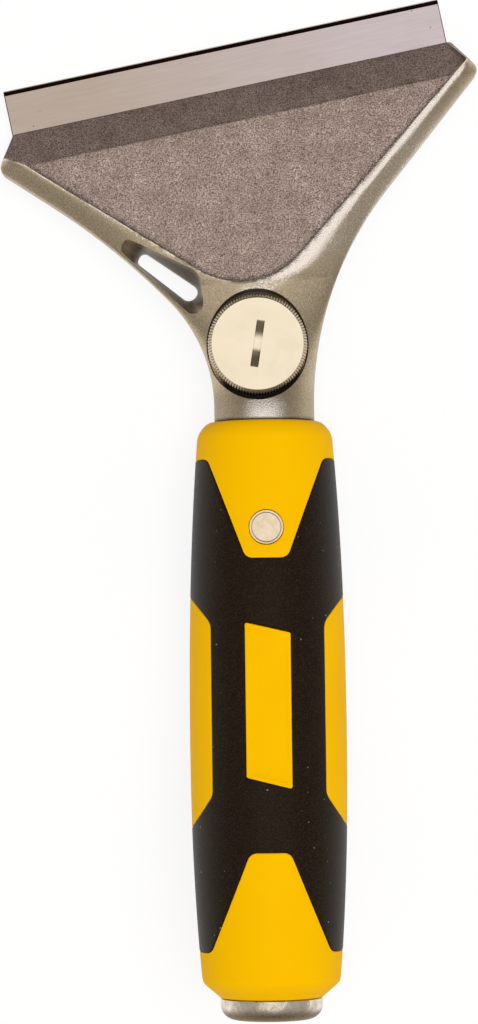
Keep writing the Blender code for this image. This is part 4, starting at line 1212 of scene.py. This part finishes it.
class SCRAPER_OT_stage(bpy.types.Operator):
    """Set up the camera, the pale floor and the studio light"""

    bl_idname = "scraper.stage"
    bl_label = "Stage"

    def execute(self, context):
        self.camera(context)
        self.floor(context)
        self.light(context)
        context.scene.view_settings.view_transform = "Standard"
        return {"FINISHED"}

    def camera(self, context):
        """The photograph's camera, square to the tool but for a slight tilt and roll.

        Its target and distance are in millimetres, and its focal length in pixels.
        """
        target = Vector((-5.95, -19.866, -0.902))
        tilt, roll, distance, focal = math.radians(2.6), math.radians(0.73), 850.0, 3790.0
        back = Vector((0.0, -math.sin(tilt), math.cos(tilt)))
        rise = Vector((0.0, math.cos(tilt), math.sin(tilt)))
        right = Vector((math.cos(roll), 0.0, 0.0)) - rise * math.sin(roll)
        up = Vector((math.sin(roll), 0.0, 0.0)) + rise * math.cos(roll)
        placed = Matrix((right, up, back)).transposed().to_4x4()
        placed.translation = (target + back * distance) * MM
        data = bpy.data.cameras.new("photo_camera")
        data.sensor_width = 36.0
        data.lens = data.sensor_width * focal / PHOTO_HEIGHT
        camera = add_object("photo_camera", data)
        camera.matrix_world = TOOL @ placed
        context.scene.camera = camera

    def floor(self, context):
        """White paper, which keeps the tool's soft shadow and shows white to the eye and in reflections."""
        material, tree, shader, place = new_finish("white_paper")
        white = context.scene.scraper_colours.floor
        fibre = grain(tree, place, 1.5, 0.3, 0.7, detail=3.0)
        feed(shader, {"Base Color": coats(tree, white, (fibre, white * 0.99)), "Roughness": 0.9,
                      "Specular IOR Level": 0.0})
        path = add_node(tree, "ShaderNodeLightPath").node.outputs
        seen = path["Is Camera Ray"]
        for ray in ("Is Glossy Ray", "Is Transmission Ray"):
            seen = add_node(tree, MATH, (seen, path[ray]))
        seen = add_node(tree, RANGE, (seen, 0.0, 1.0, 0.0, 0.85))
        glow = add_node(tree, "ShaderNodeEmission", {"Color": (1.0, 1.0, 1.0)})
        paper = add_node(tree, "ShaderNodeMixShader", (seen, shader.outputs[0], glow))
        feed(tree.nodes["Material Output"], {"Surface": paper})
        mesh = bpy.data.meshes.new("floor")
        bm = bmesh.new()
        bmesh.ops.create_grid(bm, x_segments=8, y_segments=8, size=3.0)
        bm.to_mesh(mesh)
        bm.free()
        mesh.materials.append(material)
        add_object("floor", mesh)

    def light(self, context):
        """A bright tent overhead that dims to its sides, darkest beyond the blade, and a soft key light."""
        sides, top, dark = (0.4, 0.395, 0.38), (1.12, 1.12, 1.1), (0.03, 0.024, 0.02)
        world = bpy.data.worlds.new("light_tent")
        world.use_nodes = True
        tree = world.node_tree
        way = add_node(tree, "ShaderNodeTexCoord", output="Generated")
        _, ahead, up = add_node(tree, "ShaderNodeSeparateXYZ", (way,)).node.outputs
        overhead = (way, TOOL.col[2].xyz)
        overhead = add_node(tree, "ShaderNodeVectorMath", overhead, "Value", operation="DOT_PRODUCT")
        overhead = add_node(tree, RANGE, (overhead, 0.8, 0.95))
        beyond = [add_node(tree, RANGE, limits) for limits in ((ahead, 0.46, 0.56), (up, 0.0, 0.08))]
        beyond = add_node(tree, MATH, beyond, operation="MULTIPLY")
        tent = coats(tree, sides, (overhead, top), (beyond, dark))
        feed(tree.nodes["Background"], {"Color": tent})
        context.scene.world = world
        key_data = bpy.data.lights.new("key_light", "SUN")
        key_data.energy = 1.68
        key_data.angle = math.radians(40)
        key = add_object("key_light", key_data)
        falls = Vector((-0.12, -0.1, -1.0))
        key.rotation_euler = falls.to_track_quat("-Z", "Y").to_euler()
        key.visible_glossy = False


class SCRAPER_PT_sidebar(bpy.types.Panel):
    """Sizes, colours and pieces of the hand scraper"""

    bl_idname = "SCRAPER_PT_sidebar"
    bl_label = "Hand Scraper"
    bl_space_type = "VIEW_3D"
    bl_region_type = "UI"
    bl_category = "Scraper"

    def draw(self, context):
        for group in (context.scene.scraper_sizes, context.scene.scraper_colours):
            column = self.layout.column(align=True)
            for name in group.__annotations__:
                column.prop(group, name)
        column = self.layout.column(align=True)
        for operator in OPERATORS:
            column.operator(operator.bl_idname)


OPERATORS = (SCRAPER_OT_stage, SCRAPER_OT_head, SCRAPER_OT_blade, SCRAPER_OT_clamp_plate,
             SCRAPER_OT_clamp_screw, SCRAPER_OT_grip, SCRAPER_OT_pin_and_cap, SCRAPER_OT_hidden_metal)
CLASSES = (ScraperSizes, ScraperColours, *OPERATORS, SCRAPER_PT_sidebar)


def register():
    """Adds the classes, and their values to the scene."""
    for item in CLASSES:
        bpy.utils.register_class(item)
    bpy.types.Scene.scraper_sizes = PointerProperty(type=ScraperSizes)
    bpy.types.Scene.scraper_colours = PointerProperty(type=ScraperColours)


def unregister():
    """Takes the classes and their values away."""
    del bpy.types.Scene.scraper_colours
    del bpy.types.Scene.scraper_sizes
    for item in reversed(CLASSES):
        bpy.utils.unregister_class(item)


def main():
    """Makes every piece."""
    register()
    bpy.ops.scraper.stage()
    bpy.ops.scraper.head()
    bpy.ops.scraper.blade()
    bpy.ops.scraper.clamp_plate()
    bpy.ops.scraper.clamp_screw()
    bpy.ops.scraper.grip()
    bpy.ops.scraper.pin_and_cap()
    bpy.ops.scraper.hidden_metal()


if __name__ == "__main__":
    main()
